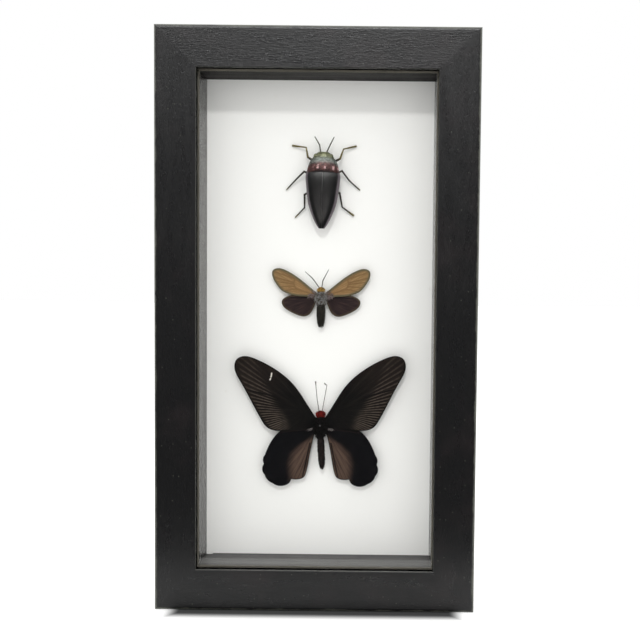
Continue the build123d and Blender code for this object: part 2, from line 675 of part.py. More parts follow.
def pin_hole(top):
    """The hole that a pin leaves, with its fit."""
    foot = -pin_depth - pin_fit
    hole = Cylinder(pin_radius + pin_fit, top - foot, align=(Align.CENTER, Align.CENTER, Align.MIN))
    return Pos(0, 0, foot) * hole


# ---------------------------------------------------------------- assembly

nodes = {}

# Frame: four mitred sides, each from its outer corner clockwise to the next.
side = case_width / 2
frame = {
    "top_rail": moulding_piece((-side, front_y, case_height), (0, 0, -1), (1, 0, 0), case_width),
    "bottom_rail": moulding_piece((side, front_y, 0), (0, 0, 1), (-1, 0, 0), case_width),
    "left_stile": moulding_piece((-side, front_y, 0), (1, 0, 0), (0, 0, 1), case_height),
    "right_stile": moulding_piece((side, front_y, case_height), (-1, 0, 0), (0, 0, -1), case_height),
}
nails = corner_nails()

# Screws of the turn buttons and of the hanger.
screws, bores, buttons = [], [], {}
stack = button_thickness + 2 * button_lift
for name, (x, z, angle) in button_places().items():
    seat = facing_back(x, z, stack)
    screws.append(seat * screw(screw_head_radius, screw_head_height, screw_radius, screw_length))
    bores.append(seat * Pos(0, 0, -screw_length) * Cylinder(
        screw_radius + screw_fit, screw_length, align=(Align.CENTER, Align.CENTER, Align.MIN)))
    closed = (cos(radians(angle)), 0, sin(radians(angle)))
    turned = Plane(origin=(x, rear_y + button_lift, z), x_dir=closed, z_dir=(0, 1, 0)).location
    buttons[name] = (turned * turn_button()).solid()
hanger_place = facing_back(0, eye_z - screw_below_eye, strap_thickness)
hanger_screw = hanger_place * screw(hanger_head_radius, hanger_head_radius - hanger_screw_radius,
                                    hanger_screw_radius, hanger_screw_length, countersunk=True)
bores.append(hanger_place * hanger_screw_blank(wire_fit))

for name, piece in frame.items():
    for cutter in nails + bores:
        piece -= cutter
    nodes[name] = piece.solid()
nodes["corner_v_nails"] = nails
nodes["turn_button_screws"] = screws
for name, piece in buttons.items():
    nodes["turn_button_" + name] = piece
nodes["hanger_strap"] = hanger_strap()
nodes["hanger_ring"] = hanger_ring()
nodes["hanger_screw"] = hanger_screw
bumper_x = case_width / 2 - rabbet_edge / 2
nodes["wall_bumpers"] = [bumper(sign * bumper_x, rabbet_edge / 2) for sign in (-1, 1)]

# Glass, spacers, board and back panel in the rabbet.
half_width = case_width / 2 - rabbet_edge


def rabbet_slab(clearance, front, back):
    """A sheet that fills the rabbet less a clearance all round."""
    return slab(-half_width + clearance, half_width - clearance, rabbet_edge + clearance,
                case_height - rabbet_edge - clearance, front, back)


pane = rabbet_slab(glass_clearance, glass_front, spacer_front)
nodes["glass"] = chamfer(pane.edges().filter_by(Axis.Y, reverse=True), glass_seam).solid()

outer = half_width - rabbet_clearance
inner = case_width / 2 - opening_edge
low_outer = rabbet_edge + rabbet_clearance
high_outer = case_height - low_outer
high_inner = case_height - opening_edge
strips = {
    "bottom_spacer": slab(-outer, outer, low_outer, opening_edge, spacer_front, board_front),
    "top_spacer": slab(-outer, outer, high_inner, high_outer, spacer_front, board_front),
    "left_spacer": slab(-outer, -inner, opening_edge, high_inner, spacer_front, board_front),
    "right_spacer": slab(inner, outer, opening_edge, high_inner, spacer_front, board_front),
}
middle = Vector(0, front_y + spacer_front, case_height / 2)
for name, strip in strips.items():
    long_axis = Axis.X if name in ("bottom_spacer", "top_spacer") else Axis.Z
    eased = strip.edges().filter_by(long_axis).sort_by(lambda edge: (edge.center() - middle).length)[0]
    nodes[name] = fillet(eased, arris_ease).solid()
chip = slab(-inner, -inner + chip_length, opening_edge - chip_drop, opening_edge + 1,
            board_front - chip_depth, board_front + 1)
nodes["bottom_spacer"] = (nodes["bottom_spacer"] - chip).solid()

board = rabbet_slab(rabbet_clearance, board_front, panel_front)
panel = rabbet_slab(panel_clearance, panel_front, panel_front + panel_thickness)
nodes["back_panel"] = fillet(panel.edges().filter_by(Axis.Y), panel_corner).solid()

# Specimens.
places = {
    "butterfly": on_board(butterfly_right, butterfly_share),
    "moth": on_board(moth_right, moth_share),
    "beetle": on_board(beetle_right, beetle_share, beetle_lean),
}
pin_tops = {
    "butterfly": butterfly_body_height + butterfly_thorax_radius + pin_proud,
    "moth": moth_body_height + moth_thorax_radius + pin_proud,
}
pins = []
for insect, pieces in (("butterfly", butterfly()), ("moth", moth()), ("beetle", beetle())):
    place = places[insect]
    if insect in pin_tops:
        pins.append((place * pin(pin_tops[insect])).solid())
        hole = pin_hole(pin_tops[insect])
        board -= place * hole
        pieces[insect + "_thorax"] = (pieces[insect + "_thorax"] - hole).solid()
    for name, piece in pieces.items():
        nodes[name] = [place * one for one in piece] if isinstance(piece, list) else place * piece
nodes["specimen_board"] = board.solid()
nodes["specimen_pins"] = pins

os.makedirs("parts", exist_ok=True)
for name, shape in nodes.items():
    whole = Compound(children=list(shape)) if isinstance(shape, list) else shape
    export_step(whole, f"parts/{name}.step")
print(len(nodes), "nodes")
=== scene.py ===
import logging
import math
from dataclasses import dataclass, field
from enum import Enum
from typing import Callable

import bpy
import numpy as np
from mathutils import Matrix, Vector, geometry
from mathutils.bvhtree import BVHTree
from mathutils.kdtree import KDTree


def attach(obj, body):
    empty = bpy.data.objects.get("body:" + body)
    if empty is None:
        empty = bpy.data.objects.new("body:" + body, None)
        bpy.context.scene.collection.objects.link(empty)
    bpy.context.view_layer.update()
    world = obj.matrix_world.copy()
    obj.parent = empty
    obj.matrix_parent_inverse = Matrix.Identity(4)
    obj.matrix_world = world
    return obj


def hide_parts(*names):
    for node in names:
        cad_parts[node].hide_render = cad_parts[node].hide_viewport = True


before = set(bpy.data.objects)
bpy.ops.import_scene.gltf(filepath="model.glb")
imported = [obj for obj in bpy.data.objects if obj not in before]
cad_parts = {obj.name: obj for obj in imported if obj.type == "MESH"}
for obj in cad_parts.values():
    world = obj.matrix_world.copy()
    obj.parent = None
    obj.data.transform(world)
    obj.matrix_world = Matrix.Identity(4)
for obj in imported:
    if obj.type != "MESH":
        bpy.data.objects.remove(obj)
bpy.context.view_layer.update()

MM = 0.001
SIDES = (("left", -1), ("right", 1))
Colour = tuple[float, float, float, float]
Triple = tuple[float, float, float]
Spot = tuple[float, float]
Node, Tree, Socket = bpy.types.Node, bpy.types.NodeTree, bpy.types.NodeSocket
Material = bpy.types.Material
log = logging.getLogger("display case")


def colour(*levels: float) -> Colour:
    """A colour from sRGB levels of 0 to 255, as the shader's linear values."""
    shares = [level / 255 for level in levels]
    return (*(s / 12.92 if s <= 0.04045 else ((s + 0.055) / 1.055) ** 2.4 for s in shares), 1.0)


# ---------------------------------------------------------------- shader nodes

class Shade:
    """Adds and links the nodes of one shader tree."""

    def __init__(self, tree: Tree) -> None:
        """Keeps the tree that the nodes go into."""
        self.tree = tree

    def node(self, kind: str, wires: dict | None = None, **settings: object) -> Node:
        """Adds one node.

        Args:
            kind: the node's type without its ShaderNode prefix.
            wires: value or source socket of each input, by name or index.
            settings: properties of the node, set before its inputs.

        Returns:
            The new node.
        """
        made = self.tree.nodes.new("ShaderNode" + kind)
        for key, value in settings.items():
            setattr(made, key, value)
        for key, value in (wires or {}).items():
            self.feed(made.inputs[key], value)
        return made

    def find(self, kind: str) -> Node:
        """The node of a type that the tree came with."""
        return next(node for node in self.tree.nodes if node.type == kind)

    def feed(self, socket: Socket, value: object) -> None:
        """Links a source socket to an input, or sets the input's own value.

        Args:
            socket: the input.
            value: the source socket or the value.
        """
        if isinstance(value, Socket):
            self.tree.links.new(value, socket)
        else:
            socket.default_value = value

    def math(self, operation: str, first: object, second: object = 0.0) -> Socket:
        """The result of one Math node."""
        return self.node("Math", {0: first, 1: second}, operation=operation).outputs[0]

    def plus(self, first: object, second: object) -> Socket:
        """The sum of two numbers."""
        return self.math("ADD", first, second)

    def less(self, first: object, second: object) -> Socket:
        """The first number less the second."""
        return self.math("SUBTRACT", first, second)

    def times(self, first: object, second: object) -> Socket:
        """The product of two numbers."""
        return self.math("MULTIPLY", first, second)

    def vector(self, operation: str, first: object, second: object = (0.0, 0.0, 0.0)) -> Socket:
        """The vector that one Vector Math node gives."""
        return self.node("VectorMath", {0: first, 1: second}, operation=operation).outputs[0]

    def split(self, value: object, kind: str = "XYZ") -> bpy.types.NodeOutputs:
        """The three parts of a place, or of a colour if the kind is Color."""
        return self.node("Separate" + kind, {0: value}).outputs

    def mix(self, share: object, low: object, high: object) -> Socket:
        """A colour between two colours."""
        return self.node("Mix", {0: share, 6: low, 7: high}, data_type="RGBA").outputs[2]

    def blend(self, share: object, low: object, high: object) -> Socket:
        """A number between two numbers."""
        return self.node("Mix", {0: share, 2: low, 3: high}, data_type="FLOAT").outputs[0]

    def span(self, value: object, low: float, high: float, start: float = 0.0, end: float = 1.0) -> Socket:
        """A smooth step.

        Args:
            value: the number that is read.
            low: where the step begins.
            high: where it ends, which may be below `low`.
            start: the result at and before `low`.
            end: the result at and past `high`.

        Returns:
            The socket that holds the result.
        """
        if high < low:
            low, high, start, end = high, low, end, start
        wires = {0: value, 1: low, 2: high, 3: start, 4: end}
        return self.node("MapRange", wires, interpolation_type="SMOOTHSTEP").outputs[0]

    def noise(self, place: object, scale: object, detail: float = 4.0, rough: float = 0.55) -> Socket:
        """Cloudy noise between 0 and 1 at a place."""
        wires = {"Vector": place, "Scale": scale, "Detail": detail, "Roughness": rough}
        return self.node("TexNoise", wires).outputs[0]

    def bump(self, height: object, strength: float, distance: float) -> Socket:
        """A normal from a height that changes over the surface."""
        return self.node("Bump", {"Height": height, "Strength": strength, "Distance": distance}).outputs[0]


class EffectGroup(Shade):
    """The node group of an effect that several finishes share, while it is being made."""

    def __init__(self, name: str, inputs: dict[str, float]) -> None:
        """Starts the group with a place and its other inputs.

        Args:
            name: what the group makes.
            inputs: default of each input besides the place.
        """
        super().__init__(bpy.data.node_groups.new(name, "ShaderNodeTree"))
        self.tree.interface.new_socket("Place", in_out="INPUT", socket_type="NodeSocketVector")
        for key, default in inputs.items():
            socket = self.tree.interface.new_socket(key, in_out="INPUT", socket_type="NodeSocketFloat")
            socket.default_value = default
        entry = self.tree.nodes.new("NodeGroupInput")
        self.given = [entry.outputs[key] for key in ("Place", *inputs)]

    def give(self, **results: Socket) -> None:
        """Makes the group's outputs.

        Args:
            results: what each output gives, by its name.
        """
        for key in results:
            self.tree.interface.new_socket(key, in_out="OUTPUT", socket_type="NodeSocketFloat")
        end = self.tree.nodes.new("NodeGroupOutput")
        for key, value in results.items():
            self.feed(end.inputs[key], value)

    def grain(self) -> None:
        """Streaked grain with pores, along whichever axis its place is squeezed."""
        place, fineness = self.given
        fine = self.noise(place, fineness, 6.0, 0.62)
        coarse = self.noise(place, self.times(fineness, 0.16), 3.0, 0.5)
        pores = self.span(self.noise(place, self.times(fineness, 1.9), 2.0, 0.5), 0.56, 0.70)
        tone = self.plus(self.times(fine, 0.6), self.times(coarse, 0.55))
        tone = self.less(tone, self.times(pores, 0.22))
        self.give(Tone=self.span(tone, 0.36, 0.76), Relief=self.less(fine, self.times(pores, 0.5)))

    def frame_edges(self) -> None:
        """Distances in metres to the frame's edges and mitres, and a mask of its rebate's faces, where shade
        is painted.
        """
        place, half_width, height, face, front = self.given
        x, y, z = self.split(place)
        across = self.less(half_width, self.math("ABSOLUTE", x))
        along = self.math("MINIMUM", z, self.less(height, z))
        outer = self.math("MINIMUM", across, along)
        depth = self.math("MAXIMUM", self.less(y, front), 0.0)
        lip = self.math("ABSOLUTE", self.less(face, outer))
        # Mask of the rebate's faces, which get painted shade.
        inside = self.times(self.span(lip, 0.0005, 0.0002), self.span(depth, 0.0001, 0.0006))
        self.give(Outer=self.plus(outer, depth), Lip=self.plus(lip, depth),
                  Mitre=self.math("ABSOLUTE", self.less(across, along)), Inside=inside)

    def worn_edge(self) -> None:
        """Wear that follows an edge in broken patches."""
        place, distance, width, patches = self.given
        reach = self.times(width, self.times(self.noise(place, patches, 5.0, 0.65), 2.0))
        near = self.less(1.0, self.math("DIVIDE", distance, reach))
        self.give(Mask=self.span(near, 0.0, 0.7))

    def flecks(self) -> None:
        """Small scattered flecks of uneven size."""
        place, spacing, size, share = self.given
        cells = self.node("TexVoronoi", {"Vector": place, "Scale": spacing, "Randomness": 1.0}).outputs
        chosen = self.math("LESS_THAN", self.split(cells["Color"], "Color")[0], share)
        inside = self.math("DIVIDE", self.less(size, cells["Distance"]), size)
        self.give(Mask=self.times(self.span(inside, 0.0, 0.5), chosen))

    def clouding(self) -> None:
        """Cloudy patches and fine scratches of handled metal."""
        place, patches, scratches = self.given
        lines = self.noise(self.vector("MULTIPLY", place, (1.0, 1.0, 0.08)), scratches, 3.0, 0.7)
        self.give(Cloud=self.noise(place, patches, 4.0, 0.6), Scratch=lines)

    def dusted_scales(self) -> None:
        """Velvety unevenness of a scaled wing, with streaks that run from its root."""
        place, angle, reach, streaks, size = self.given
        ray = self.node("CombineXYZ", {0: self.times(angle, streaks), 1: self.times(reach, 3.0)}).outputs[0]
        self.give(Dust=self.noise(place, size, 3.0, 0.6), Streak=self.noise(ray, 1.0, 4.0, 0.6))


class Effect(Enum):
    """The surface effects that several finishes share."""

    GRAIN = "wood grain"
    FRAME_EDGES = "distances to the frame's edges"
    WORN_EDGE = "worn edge"
    FLECKS = "scattered flecks"
    CLOUDING = "clouded and scratched metal"
    DUSTED_SCALES = "dusted wing scales"


PLANS: dict[Effect, tuple[Callable[[EffectGroup], None], dict[str, float]]] = {
    Effect.GRAIN: (EffectGroup.grain, {"Fineness": 900.0}),
    Effect.FRAME_EDGES: (EffectGroup.frame_edges,
                         {"Half Width": 0.1, "Height": 0.362, "Face": 0.026, "Front": -0.0212}),
    Effect.WORN_EDGE: (EffectGroup.worn_edge, {"Distance": 0.0, "Width": 0.001, "Patches": 120.0}),
    Effect.FLECKS: (EffectGroup.flecks, {"Spacing": 300.0, "Size": 0.12, "Share": 0.3}),
    Effect.CLOUDING: (EffectGroup.clouding, {"Patches": 250.0, "Scratches": 2500.0}),
    Effect.DUSTED_SCALES: (EffectGroup.dusted_scales,
                           {"Angle": 0.0, "Reach": 0.0, "Streaks": 60.0, "Size": 6000.0}),
}


@dataclass
class Effects:
    """The shared node groups, each built when it is first placed."""

    built: dict[Effect, Tree] = field(default_factory=dict)

    def group(self, effect: Effect) -> Tree:
        """The node group of an effect.

        Args:
            effect: what it makes.

        Returns:
            The group, which is the same one each time.
        """
        if effect not in self.built:
            maker, inputs = PLANS[effect]
            group = EffectGroup(effect.value, inputs)
            maker(group)
            self.built[effect] = group.tree
        return self.built[effect]


@dataclass
class Surface:
    """A material while it is being made."""

    name: str
    effects: Effects
    material: Material = field(init=False)
    shade: Shade = field(init=False)
    skin: Node = field(init=False)
    place: Socket = field(init=False)

    def __post_init__(self) -> None:
        """Adds the Principled shader and the piece's own coordinates."""
        self.material = bpy.data.materials.new(self.name)
        self.material.use_nodes = True
        self.shade = Shade(self.material.node_tree)
        self.skin = self.shade.find("BSDF_PRINCIPLED")
        self.place = self.shade.node("TexCoord").outputs["Object"]

    def effect(self, effect: Effect, **wires: object) -> bpy.types.NodeOutputs:
        """Places a shared effect, at the piece's own coordinates unless it gets another Place."""
        wires = {"Place": self.place, **wires}
        return self.shade.node("Group", wires, node_tree=self.effects.group(effect)).outputs

    def set(self, **values: object) -> None:
        """Sets or links inputs of the Principled shader, named with underscores."""
        for key, value in values.items():
            self.shade.feed(self.skin.inputs[key.replace("_", " ")], value)


# ---------------------------------------------------------------- finishes

@dataclass(frozen=True)
class Finish:
    """A named finish. Each kind adds its own nodes to the material."""

    name: str

    def make(self, effects: Effects) -> Material:
        """Builds the material.

        Args:
            effects: the shared node groups.

        Returns:
            The finished material.
        """
        surface = Surface(self.name, effects)
        self.paint(surface)
        return surface.material

    def paint(self, surface: Surface) -> None:
        """Adds the nodes of this kind of finish."""
        raise NotImplementedError


@dataclass(frozen=True)
class StainedWood(Finish):
    """Black-stained wood of the frame and of the strips inside it."""

    stretch: Triple  # squeezes the grain's place along one axis
    dark: Colour
    light: Colour
    worn: Colour
    roughness: float
    shine: float
    edge_width: float = 0.0  # how far the wear of the frame's edges reaches
    fineness: float = 900.0
    front_edge: float = 0.0  # y of a strip's front edge, where it has one that is worn
    front_width: float = 1.2 * MM
    front_wear: float = 0.6
    outer_wear: float = 0.75
    lip_wear: float = 0.22
    lip_share: float = 0.3  # reach of the wear at the lip, as a share of that at the outer edge
    warm: Colour = colour(30, 25, 26)
    warm_share: float = 0.7
    # Near-black painted shade for the faces of the rebate.
    rebate_shade: Colour = (0.0008, 0.0008, 0.0009, 1.0)

    def paint(self, surface: Surface) -> None:
        """Lays the grain, the wear along the edges, the painted shade of the rebate and the flecks.

        Args:
            surface: the new material.
        """
        shade, place = surface.shade, surface.place
        grain = surface.effect(Effect.GRAIN, Place=shade.vector("MULTIPLY", place, self.stretch),
                               Fineness=self.fineness)
        tint = shade.mix(grain["Tone"], self.dark, self.light)
        roughness = shade.blend(grain["Tone"], self.roughness + 0.08, self.roughness - 0.05)
        if self.edge_width:
            mottle = shade.noise(shade.vector("MULTIPLY", place, (0.5, 1.0, 0.5)), 70.0, 3.0, 0.6)
            tint = shade.mix(shade.span(mottle, 0.45, 0.75, 0.0, self.warm_share), tint, self.warm)
            edges = surface.effect(Effect.FRAME_EDGES)
            for side, width, strength in (("Outer", self.edge_width, self.outer_wear),
                                          ("Lip", self.lip_share * self.edge_width, self.lip_wear)):
                wear = surface.effect(Effect.WORN_EDGE, Distance=edges[side], Width=width)
                tint = shade.mix(shade.times(wear["Mask"], strength), tint, self.worn)
            joint = shade.span(edges["Mitre"], 0.00008, 0.0003, 0.4, 1.0)
            tint = shade.mix(joint, self.dark, shade.mix(edges["Inside"], tint, self.rebate_shade))
            # Painted shade: the rebate's faces get a near-black colour as a black metal with full roughness,
            # which has no sheen, so they stay a dark line.
            roughness = shade.blend(edges["Inside"], roughness, 1.0)
            surface.set(Metallic=edges["Inside"])
        if self.front_edge:
            worn = shade.span(shade.split(place)[1], self.front_edge + self.front_width, self.front_edge,
                              0.0, self.front_wear)
            tint = shade.mix(worn, tint, self.worn)
        flecks = surface.effect(Effect.FLECKS, Spacing=260.0, Size=0.13, Share=0.4)
        surface.set(Base_Color=shade.mix(shade.times(flecks["Mask"], 0.35), tint, self.worn),
                    Roughness=roughness, Specular_IOR_Level=self.shine,
                    Normal=shade.bump(grain["Relief"], 0.4, 0.0003))


@dataclass(frozen=True)
class HandledMetal(Finish):
    """Plated or bare metal, clouded by handling."""

    tint: Colour
    dull: Colour
    roughness: float

    def paint(self, surface: Surface) -> None:
        """Clouds and scratches the metal.

        Args:
            surface: the new material.
        """
        shade, marks = surface.shade, surface.effect(Effect.CLOUDING)
        surface.set(Base_Color=shade.mix(marks["Cloud"], self.dull, self.tint), Metallic=1.0,
                    Roughness=shade.blend(marks["Scratch"], self.roughness - 0.1, self.roughness + 0.18),
                    Normal=shade.bump(marks["Scratch"], 0.15, 0.00005))


@dataclass(frozen=True)
class PlainSheet(Finish):
    """An even material with fine unevenness: foam board, hardboard, rubber or glue."""

    tint: Colour
    other: Colour
    speck: Colour
    roughness: float
    shine: float
    scale: float
    relief: float
    speck_share: float
    see_through: float = 0.0

    def paint(self, surface: Surface) -> None:
        """Clouds the colour and strews specks.

        Args:
            surface: the new material.
        """
        shade = surface.shade
        cloud = shade.noise(surface.place, self.scale, 5.0, 0.6)
        flecks = surface.effect(Effect.FLECKS, Spacing=0.7 * self.scale, Size=0.22, Share=self.speck_share)
        tint = shade.mix(flecks["Mask"], shade.mix(cloud, self.tint, self.other), self.speck)
        surface.set(Base_Color=tint, Specular_IOR_Level=self.shine, Transmission_Weight=self.see_through,
                    Roughness=shade.blend(cloud, self.roughness - 0.05, self.roughness + 0.05),
                    Normal=shade.bump(cloud, self.relief, 0.0001))


@dataclass(frozen=True)
class ClearPane(Finish):
    """Clear glass that lets the lamps light what is behind it."""

    clear: Colour = colour(255, 255, 254)

    def paint(self, surface: Surface) -> None:
        """Makes glass with faint smears, which is no obstacle to shadow rays and diffuse rays.

        Args:
            surface: the new material.
        """
        shade = surface.shade
        marks = surface.effect(Effect.CLOUDING, Patches=40.0, Scratches=300.0)
        smear = shade.span(marks["Cloud"], 0.55, 0.8, 0.0, 0.012)
        surface.set(Base_Color=self.clear, Roughness=smear, IOR=1.5, Transmission_Weight=1.0,
                    Specular_IOR_Level=0.2)
        path = shade.node("LightPath").outputs
        open_to = shade.math("MAXIMUM", path["Is Shadow Ray"], path["Is Diffuse Ray"])
        clear = shade.node("BsdfTransparent", {0: self.clear})
        joined = shade.node("MixShader", {0: open_to, 1: surface.skin.outputs[0], 2: clear.outputs[0]})
        shade.feed(shade.find("OUTPUT_MATERIAL").inputs["Surface"], joined.outputs[0])


@dataclass(frozen=True)
class WingScales(Finish):
    """Scaled wing membrane, patterned by the marks that its mesh carries."""

    ground: Colour
    tip: Colour
    rim: Colour
    streak: Colour
    vein: Colour
    rim_width: float
    streak_count: float
    streak_gain: float
    zone: Colour = colour(0, 0, 0)
    line_count: float = 0.0
    lines_gain: float = 0.0
    torn: Colour = colour(226, 222, 214)

    def paint(self, surface: Surface) -> None:
        """Colours the wing from the inside out: ground, zone, streaks, lines, veins, rim, dust and scar.

        Args:
            surface: the new material.
        """
        shade, place = surface.shade, surface.place
        marks, flow = (shade.node("Attribute", attribute_name=name).outputs for name in ("marks", "flow"))
        rim, vein, zone = shade.split(marks["Color"], "Color")
        lines, reach, angle = shade.split(flow["Color"], "Color")
        scales = surface.effect(Effect.DUSTED_SCALES, Angle=angle, Reach=reach, Streaks=self.streak_count)
        tint = shade.mix(shade.span(reach, 0.45, 1.0), self.ground, self.tip)
        inner = shade.times(zone, shade.span(scales["Streak"], 0.3, 0.66, 0.3, 1.0))
        tint = shade.mix(inner, tint, self.zone)
        ray = shade.times(shade.span(scales["Streak"], 0.42, 0.70), self.streak_gain)
        tint = shade.mix(ray, tint, self.streak)
        if self.line_count:
            wander = shade.times(shade.less(scales["Streak"], 0.5), 2.2)
            wave = shade.math("SINE", shade.plus(shade.times(angle, self.line_count * math.tau), wander))
            line = shade.times(shade.span(wave, 0.0, 0.95), shade.times(lines, self.lines_gain))
            line = shade.times(line, shade.span(shade.noise(place, 420.0), 0.25, 0.6, 0.35, 1.0))
            tint = shade.mix(line, tint, self.streak)
        tint = shade.mix(shade.span(vein, 0.13, 0.05), tint, self.vein)
        tint = shade.mix(shade.span(rim, 0.1 * self.rim_width, 0.03 * self.rim_width), tint, self.rim)
        dusty = shade.span(scales["Dust"], 0.3, 0.75, 0.72, 1.3)
        tint = shade.node("VectorMath", {0: tint, "Scale": dusty}, operation="SCALE").outputs[0]
        torn = shade.times(marks["Alpha"], shade.span(shade.noise(place, 700.0), 0.36, 0.5))
        surface.set(Base_Color=shade.mix(torn, tint, self.torn), Specular_IOR_Level=0.1,
                    Roughness=shade.blend(scales["Dust"], 0.75, 0.9),
                    Normal=shade.bump(scales["Dust"], 0.25, 0.00005))


@dataclass(frozen=True)
class Hair(Finish):
    """Short hair or down, in two mixed colours."""

    tint: Colour
    other: Colour
    patches: float = 700.0

    def paint(self, surface: Surface) -> None:
        """Mixes the two colours in patches.

        Args:
            surface: the new material.
        """
        shade = surface.shade
        dust = surface.effect(Effect.DUSTED_SCALES, Size=5000.0)["Dust"]
        cloud = shade.span(shade.noise(surface.place, self.patches, 3.0, 0.6), 0.42, 0.62)
        surface.set(Base_Color=shade.mix(cloud, self.tint, self.other), Specular_IOR_Level=0.15,
                    Roughness=shade.blend(dust, 0.6, 0.8), Normal=shade.bump(dust, 0.5, 0.0001))


@dataclass(frozen=True)
class Horn(Finish):
    """Hard, pitted horn of a beetle's limbs, which may turn to another colour far from the body."""

    tint: Colour
    other: Colour
    pit: Colour
    middle: Spot | None = None
    far_tint: Colour = colour(0, 0, 0)
    far_start: float = 20.5 * MM
    far_end: float = 24.5 * MM

    def paint(self, surface: Surface) -> None:
        """Clouds the horn, pits it and changes its colour towards the ends of the limbs.

        Args:
            surface: the new material.
        """
        shade = surface.shade
        cloud = surface.effect(Effect.CLOUDING, Patches=900.0, Scratches=1500.0)["Cloud"]
        pits = surface.effect(Effect.FLECKS, Spacing=2500.0, Size=0.3, Share=0.75)["Mask"]
        tint = shade.mix(shade.span(cloud, 0.35, 0.65), self.tint, self.other)
        if self.middle:
            out = shade.vector("SUBTRACT", surface.place, (self.middle[0], 0.0, self.middle[1]))
            flat = shade.vector("MULTIPLY", out, (1.0, 0.0, 1.0))
            far = shade.node("VectorMath", {0: flat}, operation="LENGTH").outputs["Value"]
            tint = shade.mix(shade.span(far, self.far_start, self.far_end), tint, self.far_tint)
        surface.set(Base_Color=shade.mix(pits, tint, self.pit), Roughness=shade.blend(cloud, 0.34, 0.46),
                    Specular_IOR_Level=0.4, Normal=shade.bump(shade.less(1.0, pits), 0.4, 0.0001))


@dataclass(frozen=True)
class WingCase(Finish):
    """The beetle's wing cases: black, finely ribbed lengthwise, with a painted grey sheen down the middle and
    a painted purple reflection along the side rims.
    """

    ground: Colour = colour(9, 9, 10)
    # The grey of the painted sheen down the middle.
    back: Colour = colour(64, 62, 62)
    # The purple of the painted reflection along the side rims.
    side: Colour = colour(94, 86, 92)
    # The painted sheen is faint at the front height and full at the tail height.
    painted_sheen_full_z: float = 0.240
    painted_sheen_faint_z: float = 0.272

    def paint(self, surface: Surface) -> None:
        """Paints a grey sheen on the middle, stronger towards the tail, paints a purple reflection on the
        sides and ribs the whole.

        Args:
            surface: the new material.
        """
        shade, place = surface.shade, surface.place
        height = shade.split(place)[2]
        facing = shade.times(shade.split(shade.node("TexCoord").outputs["Normal"])[1], -1.0)
        ribs = shade.noise(shade.vector("MULTIPLY", place, (1.0, 0.3, 0.04)), 3200.0, 3.0, 0.6)
        pits = surface.effect(Effect.FLECKS, Place=shade.vector("MULTIPLY", place, (1.0, 1.0, 0.7)),
                              Spacing=2100.0, Size=0.3, Share=0.8)
        cloud = shade.span(shade.noise(place, 260.0, 3.0, 0.6), 0.2, 0.8, 0.6, 1.0)
        # Painted sheen where the cases face the front, growing towards the tail.
        grey = shade.times(shade.times(shade.span(facing, 0.90, 0.965), cloud),
                           shade.span(height, self.painted_sheen_faint_z, self.painted_sheen_full_z, 0.1, 1.0))
        # Painted reflection on the sides, where the cases turn away.
        tint = shade.mix(shade.span(facing, 0.79, 0.68), shade.mix(grey, self.ground, self.back), self.side)
        relief = shade.less(shade.times(ribs, 0.8), shade.times(pits["Mask"], 0.35))
        surface.set(Base_Color=tint, Roughness=shade.blend(ribs, 0.30, 0.46), Specular_IOR_Level=0.45,
                    Normal=shade.bump(relief, 0.35, 0.00012))


@dataclass(frozen=True)
class MetallicCollar(Finish):
    """The beetle's fore-body: olive at the front, steel grey, then copper with dents that carry painted
    glints.
    """

    middle: Spot
    rear: float
    length: float
    half_width: float = 11.0 * MM
    olive: Colour = colour(126, 130, 96)
    steel: Colour = colour(126, 134, 128)
    copper: Colour = colour(98, 60, 58)
    painted_glint: Colour = colour(226, 186, 184)
    dark: Colour = colour(22, 14, 16)

    def paint(self, surface: Surface) -> None:
        """Lays bowed bands of colour from the rear forwards, with painted glints on a row of dents across the
        copper one.

        Args:
            surface: the new material.
        """
        shade, place = surface.shade, surface.place
        x, _, z = shade.split(place)
        across = shade.math("DIVIDE", shade.less(x, self.middle[0]), self.half_width)
        bow = shade.times(shade.times(across, across), 0.28)
        step = shade.math("DIVIDE", shade.less(z, self.middle[1] + self.rear), self.length)
        wave = shade.times(shade.less(shade.noise(place, 420.0, 3.0, 0.6), 0.5), 0.3)
        ahead = shade.plus(shade.plus(step, bow), wave)
        grain = shade.noise(place, 1000.0, 5.0, 0.7)
        tint = shade.mix(shade.span(ahead, 0.60, 0.86), self.copper, self.steel)
        tint = shade.mix(shade.span(ahead, 0.96, 1.25), tint, self.olive)
        spots = surface.effect(Effect.FLECKS, Place=shade.vector("MULTIPLY", place, (1.0, 0.6, 0.6)),
                               Spacing=400.0, Size=0.45, Share=0.95)["Mask"]
        # Painted glints: the dents in a row across the copper band get a bright colour.
        painted_glint_row = shade.times(shade.span(ahead, 0.24, 0.34), shade.span(ahead, 0.62, 0.48))
        tint = shade.mix(shade.times(spots, painted_glint_row), tint, self.painted_glint)
        tint = shade.mix(shade.span(ahead, 0.08, 0.26), self.dark, tint)
        tint = shade.mix(shade.span(grain, 0.40, 0.58, 0.85, 0.0), tint, self.dark)
        surface.set(Base_Color=tint, Metallic=0.35, Roughness=shade.blend(grain, 0.3, 0.5),
                    Specular_IOR_Level=0.5, Normal=shade.bump(shade.plus(grain, spots), 0.5, 0.00015))


# ---------------------------------------------------------------- studio

@dataclass
class Section:
    """One section of the scene: the studio or a sub-assembly of the case."""

    effects: Effects

    def build(self) -> None:
        """Makes the section."""
        raise NotImplementedError

    def dress(self, finish: Finish, *names: str) -> Material:
        """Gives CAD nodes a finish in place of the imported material.

        Args:
            finish: what they get.
            names: the nodes.

        Returns:
            The finish's material.
        """
        material = finish.make(self.effects)
        for name in names:
            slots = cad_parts[name].material_slots
            if not slots:
                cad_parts[name].data.materials.append(material)
            for slot in slots:
                slot.material = material
            log.info("%s: %s", name, material.name)
        return material


